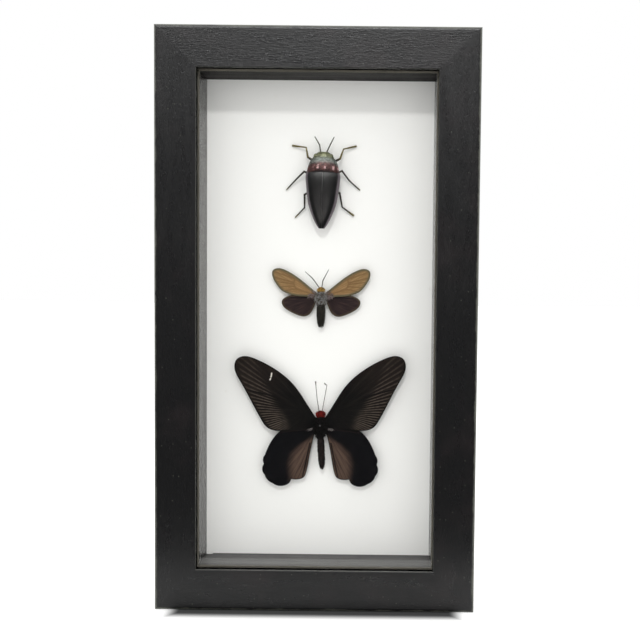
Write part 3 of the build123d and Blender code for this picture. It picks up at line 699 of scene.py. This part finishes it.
@dataclass
class Studio(Section):
    """Floor, soft light and camera."""

    eye: Triple = (0.03963, -0.57308, 0.20984)
    turn: Triple = (-0.0484, -0.0104, 0.0012)
    focal_pixels: float = 896.35
    axis_pixel: float = 379.18
    picture: float = 640.0
    sensor: float = 36.0
    ambient: float = 1.08
    dark_level: float = 0.03  # what the case mirrors at the camera's height
    dark_height: float = 0.21
    soft_level: float = 2.4  # and above it
    soft_height: float = 0.46
    floor_size: float = 6.0
    floor_front: float = -0.115
    floor_glow: float = 0.45  # so that the camera sees it as white as the surroundings
    painted_shadow_half: Triple = (0.080, 0.0215, 0.0)  # half size of the painted shadow under the case
    painted_shadow_near: float = 4.0 * MM
    painted_shadow_far: float = 15.0 * MM
    painted_shadow_tint: Colour = colour(70, 71, 71)
    key_level: float = 0.20
    key_rise: float = 34.4
    key_size: float = 0.30
    key_distance: float = 4.0
    case_top: float = 0.335

    def build(self) -> None:
        """Makes everything around the object."""
        self.camera()
        self.world()
        self.floor()
        self.key_light()

    def camera(self) -> None:
        """The camera at the photograph's place, angle and framing."""
        data = bpy.data.cameras.new("camera")
        data.sensor_width = self.sensor
        data.lens = self.focal_pixels / self.picture * data.sensor_width
        data.shift_x = (self.picture / 2 - self.axis_pixel) / self.picture
        data.clip_start = 0.01
        tilt, roll, pan = self.turn
        look = Matrix.Rotation(pan, 3, "Z") @ Matrix.Rotation(tilt, 3, "X") @ Matrix.Rotation(roll, 3, "Y")
        right, ahead, up = (look @ Vector(axis) for axis in ((1, 0, 0), (0, 1, 0), (0, 0, 1)))
        seat = Matrix((right, up, -ahead)).transposed().to_4x4()
        camera = bpy.data.objects.new("camera", data)
        camera.matrix_world = Matrix.Translation(self.eye) @ seat
        bpy.context.scene.collection.objects.link(camera)
        bpy.context.scene.camera = camera

    def world(self) -> None:
        """Even light from all round, which shows as white behind the object."""
        world = bpy.data.worlds.new("surroundings")
        world.use_nodes = True
        bpy.context.scene.world = world
        shade = Shade(world.node_tree)
        path = shade.node("LightPath").outputs
        way = shade.split(shade.node("TexCoord").outputs["Generated"])
        ahead = shade.span(way[2], self.dark_height, self.soft_height, self.dark_level, self.soft_level)
        mirrored = shade.blend(shade.span(way[1], -0.4, 0.1), ahead, 1.0)
        sharp = shade.math("MAXIMUM", path["Is Glossy Ray"], path["Is Transmission Ray"])
        strength = shade.blend(sharp, self.ambient, mirrored)
        sky = shade.find("BACKGROUND").inputs
        shade.feed(sky["Color"], colour(255, 255, 255))
        shade.feed(sky["Strength"], shade.blend(path["Is Camera Ray"], strength, 1.0))

    def floor(self) -> None:
        """A white floor that keeps the object's shadow, with a painted shadow in its colour close round the
        case, where its glow also fades.
        """
        half, front, rear = self.floor_size / 2, self.floor_front, self.floor_size
        mesh = bpy.data.meshes.new("floor")
        corners = [(-half, front, 0), (half, front, 0), (half, rear, 0), (-half, rear, 0)]
        mesh.from_pydata(corners, [], [(0, 1, 2, 3)])
        floor = bpy.data.objects.new("floor", mesh)
        bpy.context.scene.collection.objects.link(floor)
        surface = Surface("floor white", self.effects)
        shade = surface.shade
        white = shade.mix(shade.noise(surface.place, 30.0), colour(232, 232, 231), colour(236, 236, 235))
        x, y, _ = shade.split(shade.vector("SUBTRACT", shade.vector("ABSOLUTE", surface.place),
                                           self.painted_shadow_half))
        # Painted shadow: close round the case the floor's colour darkens to the shadow tint and its glow
        # fades.
        clear_of_painted_shadow = shade.span(shade.math("MAXIMUM", x, y), self.painted_shadow_near, self.painted_shadow_far)
        glow = shade.times(shade.node("LightPath").outputs["Is Camera Ray"], clear_of_painted_shadow)
        surface.set(Base_Color=shade.mix(clear_of_painted_shadow, self.painted_shadow_tint, white), Roughness=0.9,
                    Specular_IOR_Level=0.1, Emission_Color=colour(255, 255, 255),
                    Emission_Strength=shade.times(glow, self.floor_glow))
        mesh.materials.append(surface.material)

    def key_light(self) -> None:
        """The lamp in front of the case and above it."""
        data = bpy.data.lights.new("key light", "AREA")
        data.size = self.key_size
        angle = math.radians(self.key_rise)
        data.energy = self.key_level * (math.pi * self.key_distance) ** 2 / math.cos(angle)
        lamp = bpy.data.objects.new("key light", data)
        aim = Vector((0, 0, self.case_top))
        lamp.location = aim + self.key_distance * Vector((0, -math.cos(angle), math.sin(angle)))
        lamp.rotation_euler = (aim - lamp.location).to_track_quat("-Z", "Y").to_euler()
        bpy.context.scene.collection.objects.link(lamp)


# ---------------------------------------------------------------- case

@dataclass
class Moulding(Section):
    """The four mitred sides of the frame."""

    edge_width: float = 0.0018
    squeeze: float = 0.17

    def build(self) -> None:
        """Dresses the rails and stiles, with the grain along each."""
        for kind, sides, stretch in (("rail", ("top", "bottom"), (self.squeeze, 1.0, 1.0)),
                                     ("stile", ("left", "right"), (1.0, 1.0, self.squeeze))):
            finish = StainedWood("stained " + kind, stretch, colour(9, 9, 10), colour(21, 21, 22),
                                 colour(100, 102, 92), 0.31, 0.55, self.edge_width, 1250.0)
            self.dress(finish, *(f"{side}_{kind}" for side in sides))


@dataclass
class Lining(Section):
    """Glass, spacers and the board that carries the insects."""

    squeeze: float = 0.03
    front_edge: float = -0.01485

    def build(self) -> None:
        """Dresses the strips, the pane and the board."""
        lengthwise, upright = (self.squeeze, 1.0, 1.0), (1.0, 1.0, self.squeeze)
        # The strips share one colour. The top strip's rougher, less shiny finish is painted shade for its
        # downward face, and the side strips' glossier finish brightens their reflection of the board.
        for names, stretch, roughness, shine in ((["top_spacer"], lengthwise, 0.6, 0.1),
                                                 (["bottom_spacer"], lengthwise, 0.32, 0.4),
                                                 (["left_spacer", "right_spacer"], upright, 0.22, 0.65)):
            finish = StainedWood("satin " + names[0], stretch, colour(24, 24, 24), colour(54, 52, 50),
                                 colour(120, 116, 106), roughness, shine, 0.0, 1400.0, self.front_edge)
            self.dress(finish, *names)
        self.dress(ClearPane("pane"), "glass")
        board = PlainSheet("white board", colour(250, 250, 249), colour(247, 247, 246), colour(232, 230, 226),
                           0.6, 0.3, 400.0, 0.06, 0.01)
        self.dress(board, "specimen_board")


@dataclass
class BackFittings(Section):
    """What holds the back in and hangs the case on a wall."""

    buttons: tuple[str, ...] = ("top", "bottom", "left_upper", "left_lower", "right_upper", "right_lower")

    def build(self) -> None:
        """Dresses the panel, the buttons, the screws, the hanger and the bumpers."""
        panel = PlainSheet("hardboard", colour(138, 100, 66), colour(116, 82, 52), colour(82, 56, 34),
                           0.55, 0.35, 900.0, 0.3, 0.5)
        self.dress(panel, "back_panel")
        zinc = HandledMetal("zinc plate", colour(206, 206, 203), colour(160, 160, 156), 0.36)
        self.dress(zinc, *("turn_button_" + name for name in self.buttons), "turn_button_screws",
                   "hanger_strap", "hanger_screw", "hanger_ring")
        steel = HandledMetal("bare steel", colour(150, 150, 152), colour(96, 94, 92), 0.32)
        self.dress(steel, "corner_v_nails", "specimen_pins")
        rubber = PlainSheet("rubber", colour(30, 30, 30), colour(40, 40, 40), colour(70, 70, 68),
                            0.75, 0.3, 1500.0, 0.3, 0.05)
        self.dress(rubber, "wall_bumpers")


# ---------------------------------------------------------------- wings and hair

def cad_triangles(name: str) -> tuple[np.ndarray, np.ndarray, np.ndarray]:
    """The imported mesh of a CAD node.

    Args:
        name: the node.

    Returns:
        Its points, its triangles, and the normal of each triangle times twice its area.
    """
    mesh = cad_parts[name].data
    mesh.calc_loop_triangles()
    spots = np.empty(3 * len(mesh.vertices))
    mesh.vertices.foreach_get("co", spots)
    corners = np.empty(3 * len(mesh.loop_triangles), dtype=np.int32)
    mesh.loop_triangles.foreach_get("vertices", corners)
    spots, corners = spots.reshape(-1, 3), corners.reshape(-1, 3)
    first, second, third = (spots[corners[:, k]] for k in range(3))
    return spots, corners, np.cross(second - first, third - first)


def add_piece(name: str, spots: np.ndarray, faces: list,
              material: Material) -> bpy.types.Object:
    """Makes a mesh piece that belongs to the case.

    Args:
        name: name of the new piece.
        spots: its points, in metres.
        faces: the point numbers of each face.
        material: what it is made of.

    Returns:
        The new object.
    """
    mesh = bpy.data.meshes.new(name)
    mesh.from_pydata(np.asarray(spots).tolist(), [], faces)
    mesh.validate()
    mesh.shade_smooth()
    mesh.materials.append(material)
    piece = bpy.data.objects.new(name, mesh)
    bpy.context.scene.collection.objects.link(piece)
    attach(piece, "case")
    log.info("%s: %d faces, %s", name, len(faces), material.name)
    return piece


def distance_to_line(spots: np.ndarray, line: list[Spot]) -> tuple[np.ndarray, np.ndarray]:
    """How far points lie from a run of straight stretches.

    Args:
        spots: the points, two coordinates each.
        line: corners of the run.

    Returns:
        The distance of each point, and how far along the run its nearest place is, from 0 to 1.
    """
    best = np.full(len(spots), np.inf)
    along = np.zeros(len(spots))
    corners = np.array(line)
    lengths = np.linalg.norm(np.diff(corners, axis=0), axis=1)
    for number, (start, end) in enumerate(zip(corners, corners[1:])):
        step = end - start
        share = np.clip((spots - start) @ step / (step @ step), 0, 1)
        gap = np.linalg.norm(spots - start - share[:, None] * step, axis=1)
        nearer = gap < best
        best[nearer] = gap[nearer]
        along[nearer] = (lengths[:number].sum() + share[nearer] * lengths[number]) / lengths.sum()
    return best, along


def rim_finder(line: np.ndarray) -> KDTree:
    """Readies a search for the nearest of many places in the plane.

    Args:
        line: the places.

    Returns:
        Their search tree.
    """
    tree = KDTree(len(line))
    for number, spot in enumerate(line):
        tree.insert((*spot, 0), number)
    tree.balance()
    return tree


def smooth_step(values: np.ndarray, low: float, high: float) -> np.ndarray:
    """Rises smoothly from 0 at `low` to 1 at `high`, or falls where `high` is the smaller."""
    share = np.clip((values - low) / (high - low), 0, 1)
    return share * share * (3 - 2 * share)


@dataclass
class WingPattern:
    """Where the marks of a wing lie, in millimetres out from and ahead of the body's middle."""

    margin: list[Spot] = field(default_factory=list)  # from the tip to the rear corner, if it has pale lines
    lines_start: float = 1.0  # where these lines start, inwards from the margin
    lines_full: float = 2.5
    lines_fade: float = 10.0
    lines_end: float = 16.0
    lines_at_tip: float = 0.2
    zone: list[Spot] = field(default_factory=list)  # the inner zone lies inside this line
    zone_soft: float = 7.0
    scar: list[Spot] = field(default_factory=list)
    scar_width: float = 0.45
    fan: Spot = (0.0, 0.0)  # where the streaks and lines spread from


@dataclass
class Wing:
    """A set wing, remade from its CAD solid with finer veins and the marks that colour it."""

    node: str
    slot: str
    middle: Spot
    outward: int
    reach: float
    pattern: WingPattern = field(default_factory=WingPattern)
    spacing: float = 0.34 * MM
    skin: float = 0.30 * MM
    vein_rise: float = 0.15 * MM
    vein_slope: float = 0.30 * MM
    clearance: float = 0.55  # of the inner points from the outline, in spacings
    rim_span: float = 10.0  # distances in millimetres that the marks can hold
    vein_span: float = 3.0

    def outline(self, spots: np.ndarray, rear: np.ndarray) -> np.ndarray:
        """The wing's outline, from the edge of its rear sheet.

        Args:
            spots: points of the solid.
            rear: triangles of the sheet that faces the board.

        Returns:
            Points round the wing, no further apart than the spacing.
        """
        places, same = np.unique(np.round(spots, 6), axis=0, return_inverse=True)
        same = same.reshape(-1)
        sides = {(int(same[a]), int(same[b])) for tri in rear for a, b in zip(tri, np.roll(tri, -1))}
        follow = {a: b for a, b in sides if (b, a) not in sides and a != b}
        loops = []
        while follow:
            start, step = follow.popitem()
            loop = [start]
            while step in follow:
                loop.append(step)
                step = follow.pop(step)
            loops.append(loop)
        loop = places[max(loops, key=len)][:, [0, 2]]
        line = []
        for here, after in zip(loop, np.roll(loop, -1, axis=0)):
            parts = max(1, math.ceil(np.linalg.norm(after - here) / self.spacing))
            line += [here + (after - here) * part / parts for part in range(parts)]
        return np.array(line)

    def grid(self, line: np.ndarray) -> tuple[np.ndarray, list]:
        """Fills the outline with even triangles.

        Args:
            line: the outline.

        Returns:
            The points, of which the first ones are the outline, and the triangles.
        """
        low, high = line.min(axis=0), line.max(axis=0)
        rows = np.arange(low[1], high[1], self.spacing * 0.75 ** 0.5)  # the height of an even triangle
        columns = np.arange(low[0], high[0], self.spacing)
        inner = np.array([(x + (row % 2) * self.spacing / 2, z)
                          for row, z in enumerate(rows) for x in columns])
        inside = np.zeros(len(inner), dtype=bool)
        for here, after in zip(line, np.roll(line, -1, axis=0)):
            if here[1] != after[1]:
                crosses = (here[1] > inner[:, 1]) != (after[1] > inner[:, 1])
                x = here[0] + (inner[:, 1] - here[1]) / (after[1] - here[1]) * (after[0] - here[0])
                inside ^= crosses & (inner[:, 0] < x)
        rim = rim_finder(line)
        gap = self.clearance * self.spacing
        inner = np.array([spot for spot in inner[inside] if rim.find((*spot, 0))[2] > gap])
        count = len(line)
        flat = [Vector(spot / MM) for spot in np.vstack((line, inner))]
        edges = [(number, (number + 1) % count) for number in range(count)]
        made = geometry.delaunay_2d_cdt(flat, edges, [], 1, 1e-6)
        return np.array([tuple(spot) for spot in made[0]]) * MM, [tuple(face) for face in made[2]]

    def build(self, material: Material) -> bpy.types.Object:
        """Makes the wing in place of its CAD node.

        Args:
            material: the scaled membrane.

        Returns:
            The new piece.
        """
        spots, corners, normals = cad_triangles(self.node)
        facing = normals[:, 1] / np.maximum(np.linalg.norm(normals, axis=1), 1e-12)
        rear, front = corners[facing > 0.5], corners[facing < -0.5]
        sheet = BVHTree.FromPolygons(spots.tolist(), rear.tolist())
        rear_y = float(spots[rear.reshape(-1), 1].mean())

        def back_at(x: float, z: float) -> float:
            """Depth of the rear sheet at a place."""
            hit = sheet.ray_cast(Vector((x, rear_y - 20 * MM, z)), Vector((0, 1, 0)))[0]
            return (hit or sheet.find_nearest(Vector((x, rear_y, z)))[0]).y

        raised = []
        for tri in front:
            middle = spots[tri].mean(axis=0)
            if back_at(middle[0], middle[2]) - middle[1] > self.skin + 0.5 * self.vein_rise:
                raised.append(tri.tolist())
        log.info("%s: %d of %d front triangles lie on veins", self.node, len(raised), len(front))
        ribs = BVHTree.FromPolygons(spots.tolist(), raised)

        flat, faces = self.grid(self.outline(spots, rear))
        used = {}
        for a, b in ((a, b) for face in faces for a, b in zip(face, face[1:] + face[:1])):
            used[(a, b)] = used.get((a, b), 0) + 1
        open_sides = [(a, b) for a, b in used if (b, a) not in used]
        back = np.array([back_at(x, z) for x, z in flat])
        vein = np.empty(len(flat))
        for number, (x, z) in enumerate(flat):
            near = ribs.find_nearest(Vector((x, back[number] - self.skin - self.vein_rise, z)))[0]
            vein[number] = math.hypot(near.x - x, near.z - z)
        lift = self.vein_rise * smooth_step(vein, self.vein_slope, 0.0)
        top = np.column_stack((flat[:, 0], back - self.skin - lift, flat[:, 1]))
        bottom = np.column_stack((flat[:, 0], back, flat[:, 1]))
        count = len(flat)
        turn = np.cross(top[faces[0][1]] - top[faces[0][0]], top[faces[0][2]] - top[faces[0][0]])[1] > 0
        if turn:
            faces = [face[::-1] for face in faces]
            open_sides = [(b, a) for a, b in open_sides]
        shell = list(faces)
        shell += [tuple(count + corner for corner in reversed(face)) for face in faces]
        shell += [(b, a, a + count, b + count) for a, b in open_sides]
        piece = add_piece(self.node + "_set", np.vstack((top, bottom)), shell, material)
        edge = np.unique(np.array(open_sides).reshape(-1))
        self.colour(piece.data, flat, edge, vein)
        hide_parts(self.node)
        return piece

    def colour(self, mesh: bpy.types.Mesh, flat: np.ndarray, edge: np.ndarray, vein: np.ndarray) -> None:
        """Writes the marks and the flow that the wing's material reads.

        Args:
            mesh: the new mesh, whose points are those of the front sheet, then those of the rear one.
            flat: place of each point on the wing, in metres.
            edge: numbers of the points on the outline.
            vein: distance of each point from the nearest vein, in metres.
        """
        finder = rim_finder(flat[edge])
        rim = np.array([finder.find((*spot, 0))[2] for spot in flat]) / MM
        own = (flat - np.array(self.middle)) / MM * np.array((self.outward, 1))
        pattern = self.pattern
        lines, zone, scar = np.zeros((3, len(flat)))
        if pattern.margin:
            gap, along = distance_to_line(own, pattern.margin)
            lines = smooth_step(gap, pattern.lines_start, pattern.lines_full)
            lines *= smooth_step(gap, pattern.lines_end, pattern.lines_fade)
            lines *= pattern.lines_at_tip + (1 - pattern.lines_at_tip) * along
        if pattern.zone:
            corners = np.array(pattern.zone)
            line_x = np.interp(-own[:, 1], -corners[:, 1], corners[:, 0])
            zone = smooth_step(line_x - own[:, 0], -pattern.zone_soft / 2, pattern.zone_soft / 2)
        if pattern.scar:
            width = pattern.scar_width
            scar = smooth_step(distance_to_line(own, pattern.scar)[0], width, 0.5 * width)
        reach = np.linalg.norm(own, axis=1) / self.reach
        spread = own - np.array(pattern.fan)
        angle = np.arctan2(spread[:, 1], spread[:, 0]) / math.pi + 0.5
        plain = np.ones(len(flat))
        for name, parts in (("marks", (rim / self.rim_span, vein / MM / self.vein_span, zone, scar)),
                            ("flow", (lines, reach, angle, plain))):
            values = np.clip(np.column_stack(parts), 0, 1)
            layer = mesh.color_attributes.new(name, "FLOAT_COLOR", "POINT")
            layer.data.foreach_set("color", np.vstack((values, values)).astype(np.float32).reshape(-1))


@dataclass
class Coat:
    """Hair on a body, as one mesh of fine tapering strands."""

    name: str
    nodes: list[str]
    slot: str
    count: int
    length: float
    lean: Triple  # direction that the hair is combed in, in the part's frame
    seed: int
    width: float = 0.09 * MM
    stand: float = 0.7  # how much it stands off the body
    tangle: float = 0.35
    sunk: float = 0.05 * MM  # how deep it starts in the body
    widths: Spot = (0.7, 1.3)  # least and greatest share of the width and of the length
    lengths: Spot = (0.5, 1.1)
    curl: float = 0.12
    taper: float = 0.6
    backward: float = 0.3  # how far a face may turn to the board and still have hair
    around: Triple = (0.0, 0.0, 1.0)  # x, z and radius of the part that is covered

    def build(self, material: Material) -> bpy.types.Object:
        """Grows the strands.

        Args:
            material: the hair.

        Returns:
            The new piece.
        """
        draw = np.random.default_rng(self.seed)
        roots, ways = [], []
        for node in self.nodes:
            spots, corners, normals = cad_triangles(node)
            area = np.linalg.norm(normals, axis=1)
            middles = spots[corners].mean(axis=1)
            reach = np.hypot(middles[:, 0] - self.around[0], middles[:, 2] - self.around[1])
            weight = area * (normals[:, 1] < self.backward * area) * (reach < self.around[2])
            chosen = draw.choice(len(corners), self.count // len(self.nodes), p=weight / weight.sum())
            shares = draw.dirichlet((1, 1, 1), len(chosen))
            roots.append((spots[corners[chosen]] * shares[:, :, None]).sum(axis=1))
            ways.append(normals[chosen] / area[chosen, None])
        root, normal = np.vstack(roots), np.vstack(ways)
        way = self.stand * normal + np.array(self.lean) + self.tangle * draw.normal(size=root.shape)
        way /= np.linalg.norm(way, axis=1)[:, None]
        side = np.cross(way, normal + 0.01)
        side /= np.linalg.norm(side, axis=1)[:, None]
        other = np.cross(way, side)
        size = self.width * draw.uniform(*self.widths, (len(root), 1))
        long = self.length * draw.uniform(*self.lengths, (len(root), 1))
        base = root - self.sunk * normal
        tip = root + way * long
        bend = root + way * long * 0.5 + self.curl * long * normal
        rings = [base + size * (math.cos(turn) * side + math.sin(turn) * other)
                 for turn in (0.0, 2 * math.pi / 3, 4 * math.pi / 3)]
        rings += [bend + self.taper * (ring - base) for ring in rings[:3]] + [tip]
        spots = np.stack(rings, axis=1).reshape(-1, 3)
        strand = [(0, 2, 1), (0, 1, 4, 3), (1, 2, 5, 4), (2, 0, 3, 5), (3, 4, 6), (4, 5, 6), (5, 3, 6)]
        faces = [tuple(len(rings) * number + corner for corner in face)
                 for number in range(len(root)) for face in strand]
        return add_piece(self.name, spots, faces, material)


# ---------------------------------------------------------------- insects

@dataclass
class Butterfly(Section):
    """The large butterfly at the bottom of the board."""

    middle: Spot = (0.0016, 0.11381)
    reach: float = 56.0

    def build(self) -> None:
        """Remakes the wings, dresses the body and gives it its hair."""
        margin = [(55.0, 39.5), (51.8, 26.6), (44.6, 13.6), (38.2, 2.2), (34.2, -2.8)]
        fore = WingPattern(margin, fan=(8.0, 8.0))
        scarred = WingPattern(margin, fan=(8.0, 8.0), scar=[(31.7, 33.0), (31.9, 31.4), (32.7, 28.8)])
        hind = WingPattern(zone=[(-3.0, 2.0), (0.5, -4.5), (5.0, -8.4), (12.0, -13.0), (18.0, -19.0),
                                 (20.0, -26.0), (19.5, -32.0), (17.5, -43.0)])
        forewing = WingScales("butterfly forewing", ground=colour(5, 4, 4), tip=colour(25, 19, 16),
                              rim=colour(6, 5, 5), streak=colour(104, 92, 82), vein=colour(9, 7, 7),
                              rim_width=0.7, streak_count=46.0, streak_gain=0.05, lines_gain=0.7,
                              line_count=52.0).make(self.effects)
        hindwing = WingScales("butterfly hindwing", ground=colour(3, 3, 7), tip=colour(3, 3, 7),
                              rim=colour(3, 3, 5), streak=colour(50, 40, 36), zone=colour(90, 72, 62),
                              vein=colour(24, 18, 17), rim_width=0.7, streak_count=150.0,
                              streak_gain=0.08).make(self.effects)
        for (side, outward), pattern in zip(SIDES, (scarred, fore)):
            place = ("butterfly_wing", self.middle, outward, self.reach)
            Wing(f"butterfly_{side}_forewing", *place, pattern).build(forewing)
            Wing(f"butterfly_{side}_hindwing", *place, hind).build(hindwing)
        self.dress(Hair("butterfly thorax", colour(8, 6, 6), colour(18, 15, 15)), "butterfly_thorax")
        self.dress(Hair("butterfly abdomen", colour(22, 13, 13), colour(46, 34, 32)), "butterfly_abdomen")
        self.dress(Hair("butterfly feeler", colour(120, 116, 112), colour(90, 86, 84)),
                   "butterfly_antennae")
        red = self.dress(Hair("red collar", colour(150, 34, 26), colour(84, 14, 12), 500.0),
                         "butterfly_head")
        down = Hair("butterfly down", colour(13, 11, 11), colour(30, 25, 24)).make(self.effects)
        x, z = self.middle
        Coat("butterfly_thorax_down", ["butterfly_thorax"], "butterfly_body", 1600, 2.6 * MM, (0, 0, -0.9),
             11, width=0.13 * MM, tangle=0.5, around=(x, z - 1.5 * MM, 9.0 * MM)).build(down)
        Coat("butterfly_abdomen_down", ["butterfly_abdomen"], "butterfly_body", 1000, 1.0 * MM,
             (0, 0, -1.4), 12, stand=0.45).build(down)
        Coat("butterfly_collar", ["butterfly_head"], "butterfly_head", 800, 1.1 * MM, (0, -0.2, 0.3), 13,
             width=0.10 * MM, tangle=0.5).build(red)
        tuft = Hair("grey root hair", colour(96, 90, 90), colour(150, 144, 142), 900.0).make(self.effects)
        for side, outward in SIDES:
            Coat(f"butterfly_{side}_tuft", [f"butterfly_{side}_forewing"], "butterfly_body", 160, 2.0 * MM,
                 (0.4 * outward, -0.3, -0.6), 14 + outward, stand=0.4,
                 around=(x + outward * 6.5 * MM, z - 2.0 * MM, 1.6 * MM)).build(tuft)


@dataclass
class Moth(Section):
    """The moth in the middle of the board."""

    middle: Spot = (0.0013, 0.19610)
    reach: float = 31.6

    def build(self) -> None:
        """Remakes the wings, dresses the body and gives it its hair."""
        fine = dict(spacing=0.24 * MM, skin=0.25 * MM, vein_rise=0.10 * MM, vein_slope=0.22 * MM)
        tan = WingScales("moth forewing", ground=colour(130, 100, 66), tip=colour(128, 102, 68),
                         rim=colour(92, 86, 66), streak=colour(168, 138, 98), vein=colour(120, 93, 62),
                         rim_width=2.0, streak_count=150.0, streak_gain=0.85).make(self.effects)
        dark = WingScales("moth hindwing", ground=colour(34, 25, 27), tip=colour(40, 30, 30),
                          rim=colour(70, 60, 48), streak=colour(80, 62, 58), vein=colour(26, 20, 22),
                          rim_width=1.5, streak_count=130.0, streak_gain=0.6).make(self.effects)
        for side, outward in SIDES:
            place = (self.middle, outward, self.reach)
            Wing(f"moth_{side}_forewing", "moth_forewing", *place, **fine).build(tan)
            Wing(f"moth_{side}_hindwing", "moth_hindwing", *place, **fine).build(dark)
        self.dress(Hair("moth thorax", colour(120, 122, 122), colour(60, 54, 48), 600.0), "moth_thorax")
        self.dress(Hair("moth abdomen", colour(30, 27, 25), colour(58, 54, 48), 1200.0), "moth_abdomen")
        self.dress(Hair("moth feeler", colour(70, 74, 66), colour(50, 48, 42)), "moth_antennae")
        gold = self.dress(Hair("golden head", colour(208, 170, 92), colour(120, 90, 40), 900.0),
                          "moth_head")
        down = Hair("moth down", colour(176, 176, 176), colour(84, 70, 56), 620.0).make(self.effects)
        x, z = self.middle
        Coat("moth_thorax_down", ["moth_thorax"], "moth_body", 1500, 1.8 * MM, (0, 0, -0.9), 21,
             width=0.11 * MM, tangle=0.5).build(down)
        Coat("moth_head_down", ["moth_head"], "moth_head", 600, 0.9 * MM, (0, -0.2, 0.2), 22).build(gold)
        tail = Hair("moth tail hair", colour(26, 24, 22), colour(62, 58, 50), 1300.0).make(self.effects)
        Coat("moth_abdomen_down", ["moth_abdomen"], "moth_body", 1100, 1.3 * MM, (0, 0, -1.4), 23,
             stand=0.45).build(tail)
        pale = Hair("pale shoulder hair", colour(182, 168, 170), colour(124, 104, 92),
                    800.0).make(self.effects)
        Coat("moth_shoulders", ["moth_left_forewing", "moth_right_forewing"], "moth_body", 520, 2.4 * MM,
             (0, -0.25, -0.5), 24, stand=0.4, around=(x, z, 6.6 * MM)).build(pale)


@dataclass
class Beetle(Section):
    """The beetle at the top of the board."""

    middle: Spot = (0.0020, 0.26483)
    collar_rear: float = 0.0105
    collar_length: float = 0.0090

    def build(self) -> None:
        """Dresses the plates, the legs and the feelers."""
        self.dress(WingCase("wing case"), "beetle_right_wing_case", "beetle_left_wing_case",
                   "beetle_underside")
        collar = MetallicCollar("copper collar", self.middle, self.collar_rear, self.collar_length)
        self.dress(collar, "beetle_pronotum", "beetle_head")
        leg = Horn("leg", colour(30, 25, 20), colour(46, 40, 28), colour(20, 17, 14), self.middle,
                   colour(96, 86, 44))
        self.dress(leg, "beetle_legs")
        feeler = Horn("beetle feeler", colour(56, 56, 50), colour(80, 78, 68), colour(30, 30, 26))
        self.dress(feeler, "beetle_antennae")
        glue = PlainSheet("set glue", colour(222, 214, 188), colour(236, 230, 210), colour(200, 190, 160),
                          0.25, 0.5, 500.0, 0.3, 0.1, 0.4)
        self.dress(glue, "beetle_glue")


def main() -> None:
    """Builds the scene."""
    logging.basicConfig(level=logging.INFO, format="%(name)s: %(message)s")
    effects = Effects()
    for section in (Studio, Moulding, Lining, BackFittings, Butterfly, Moth, Beetle):
        section(effects).build()
    bpy.context.scene.view_settings.view_transform = "Standard"


if __name__ == "__main__":
    main()
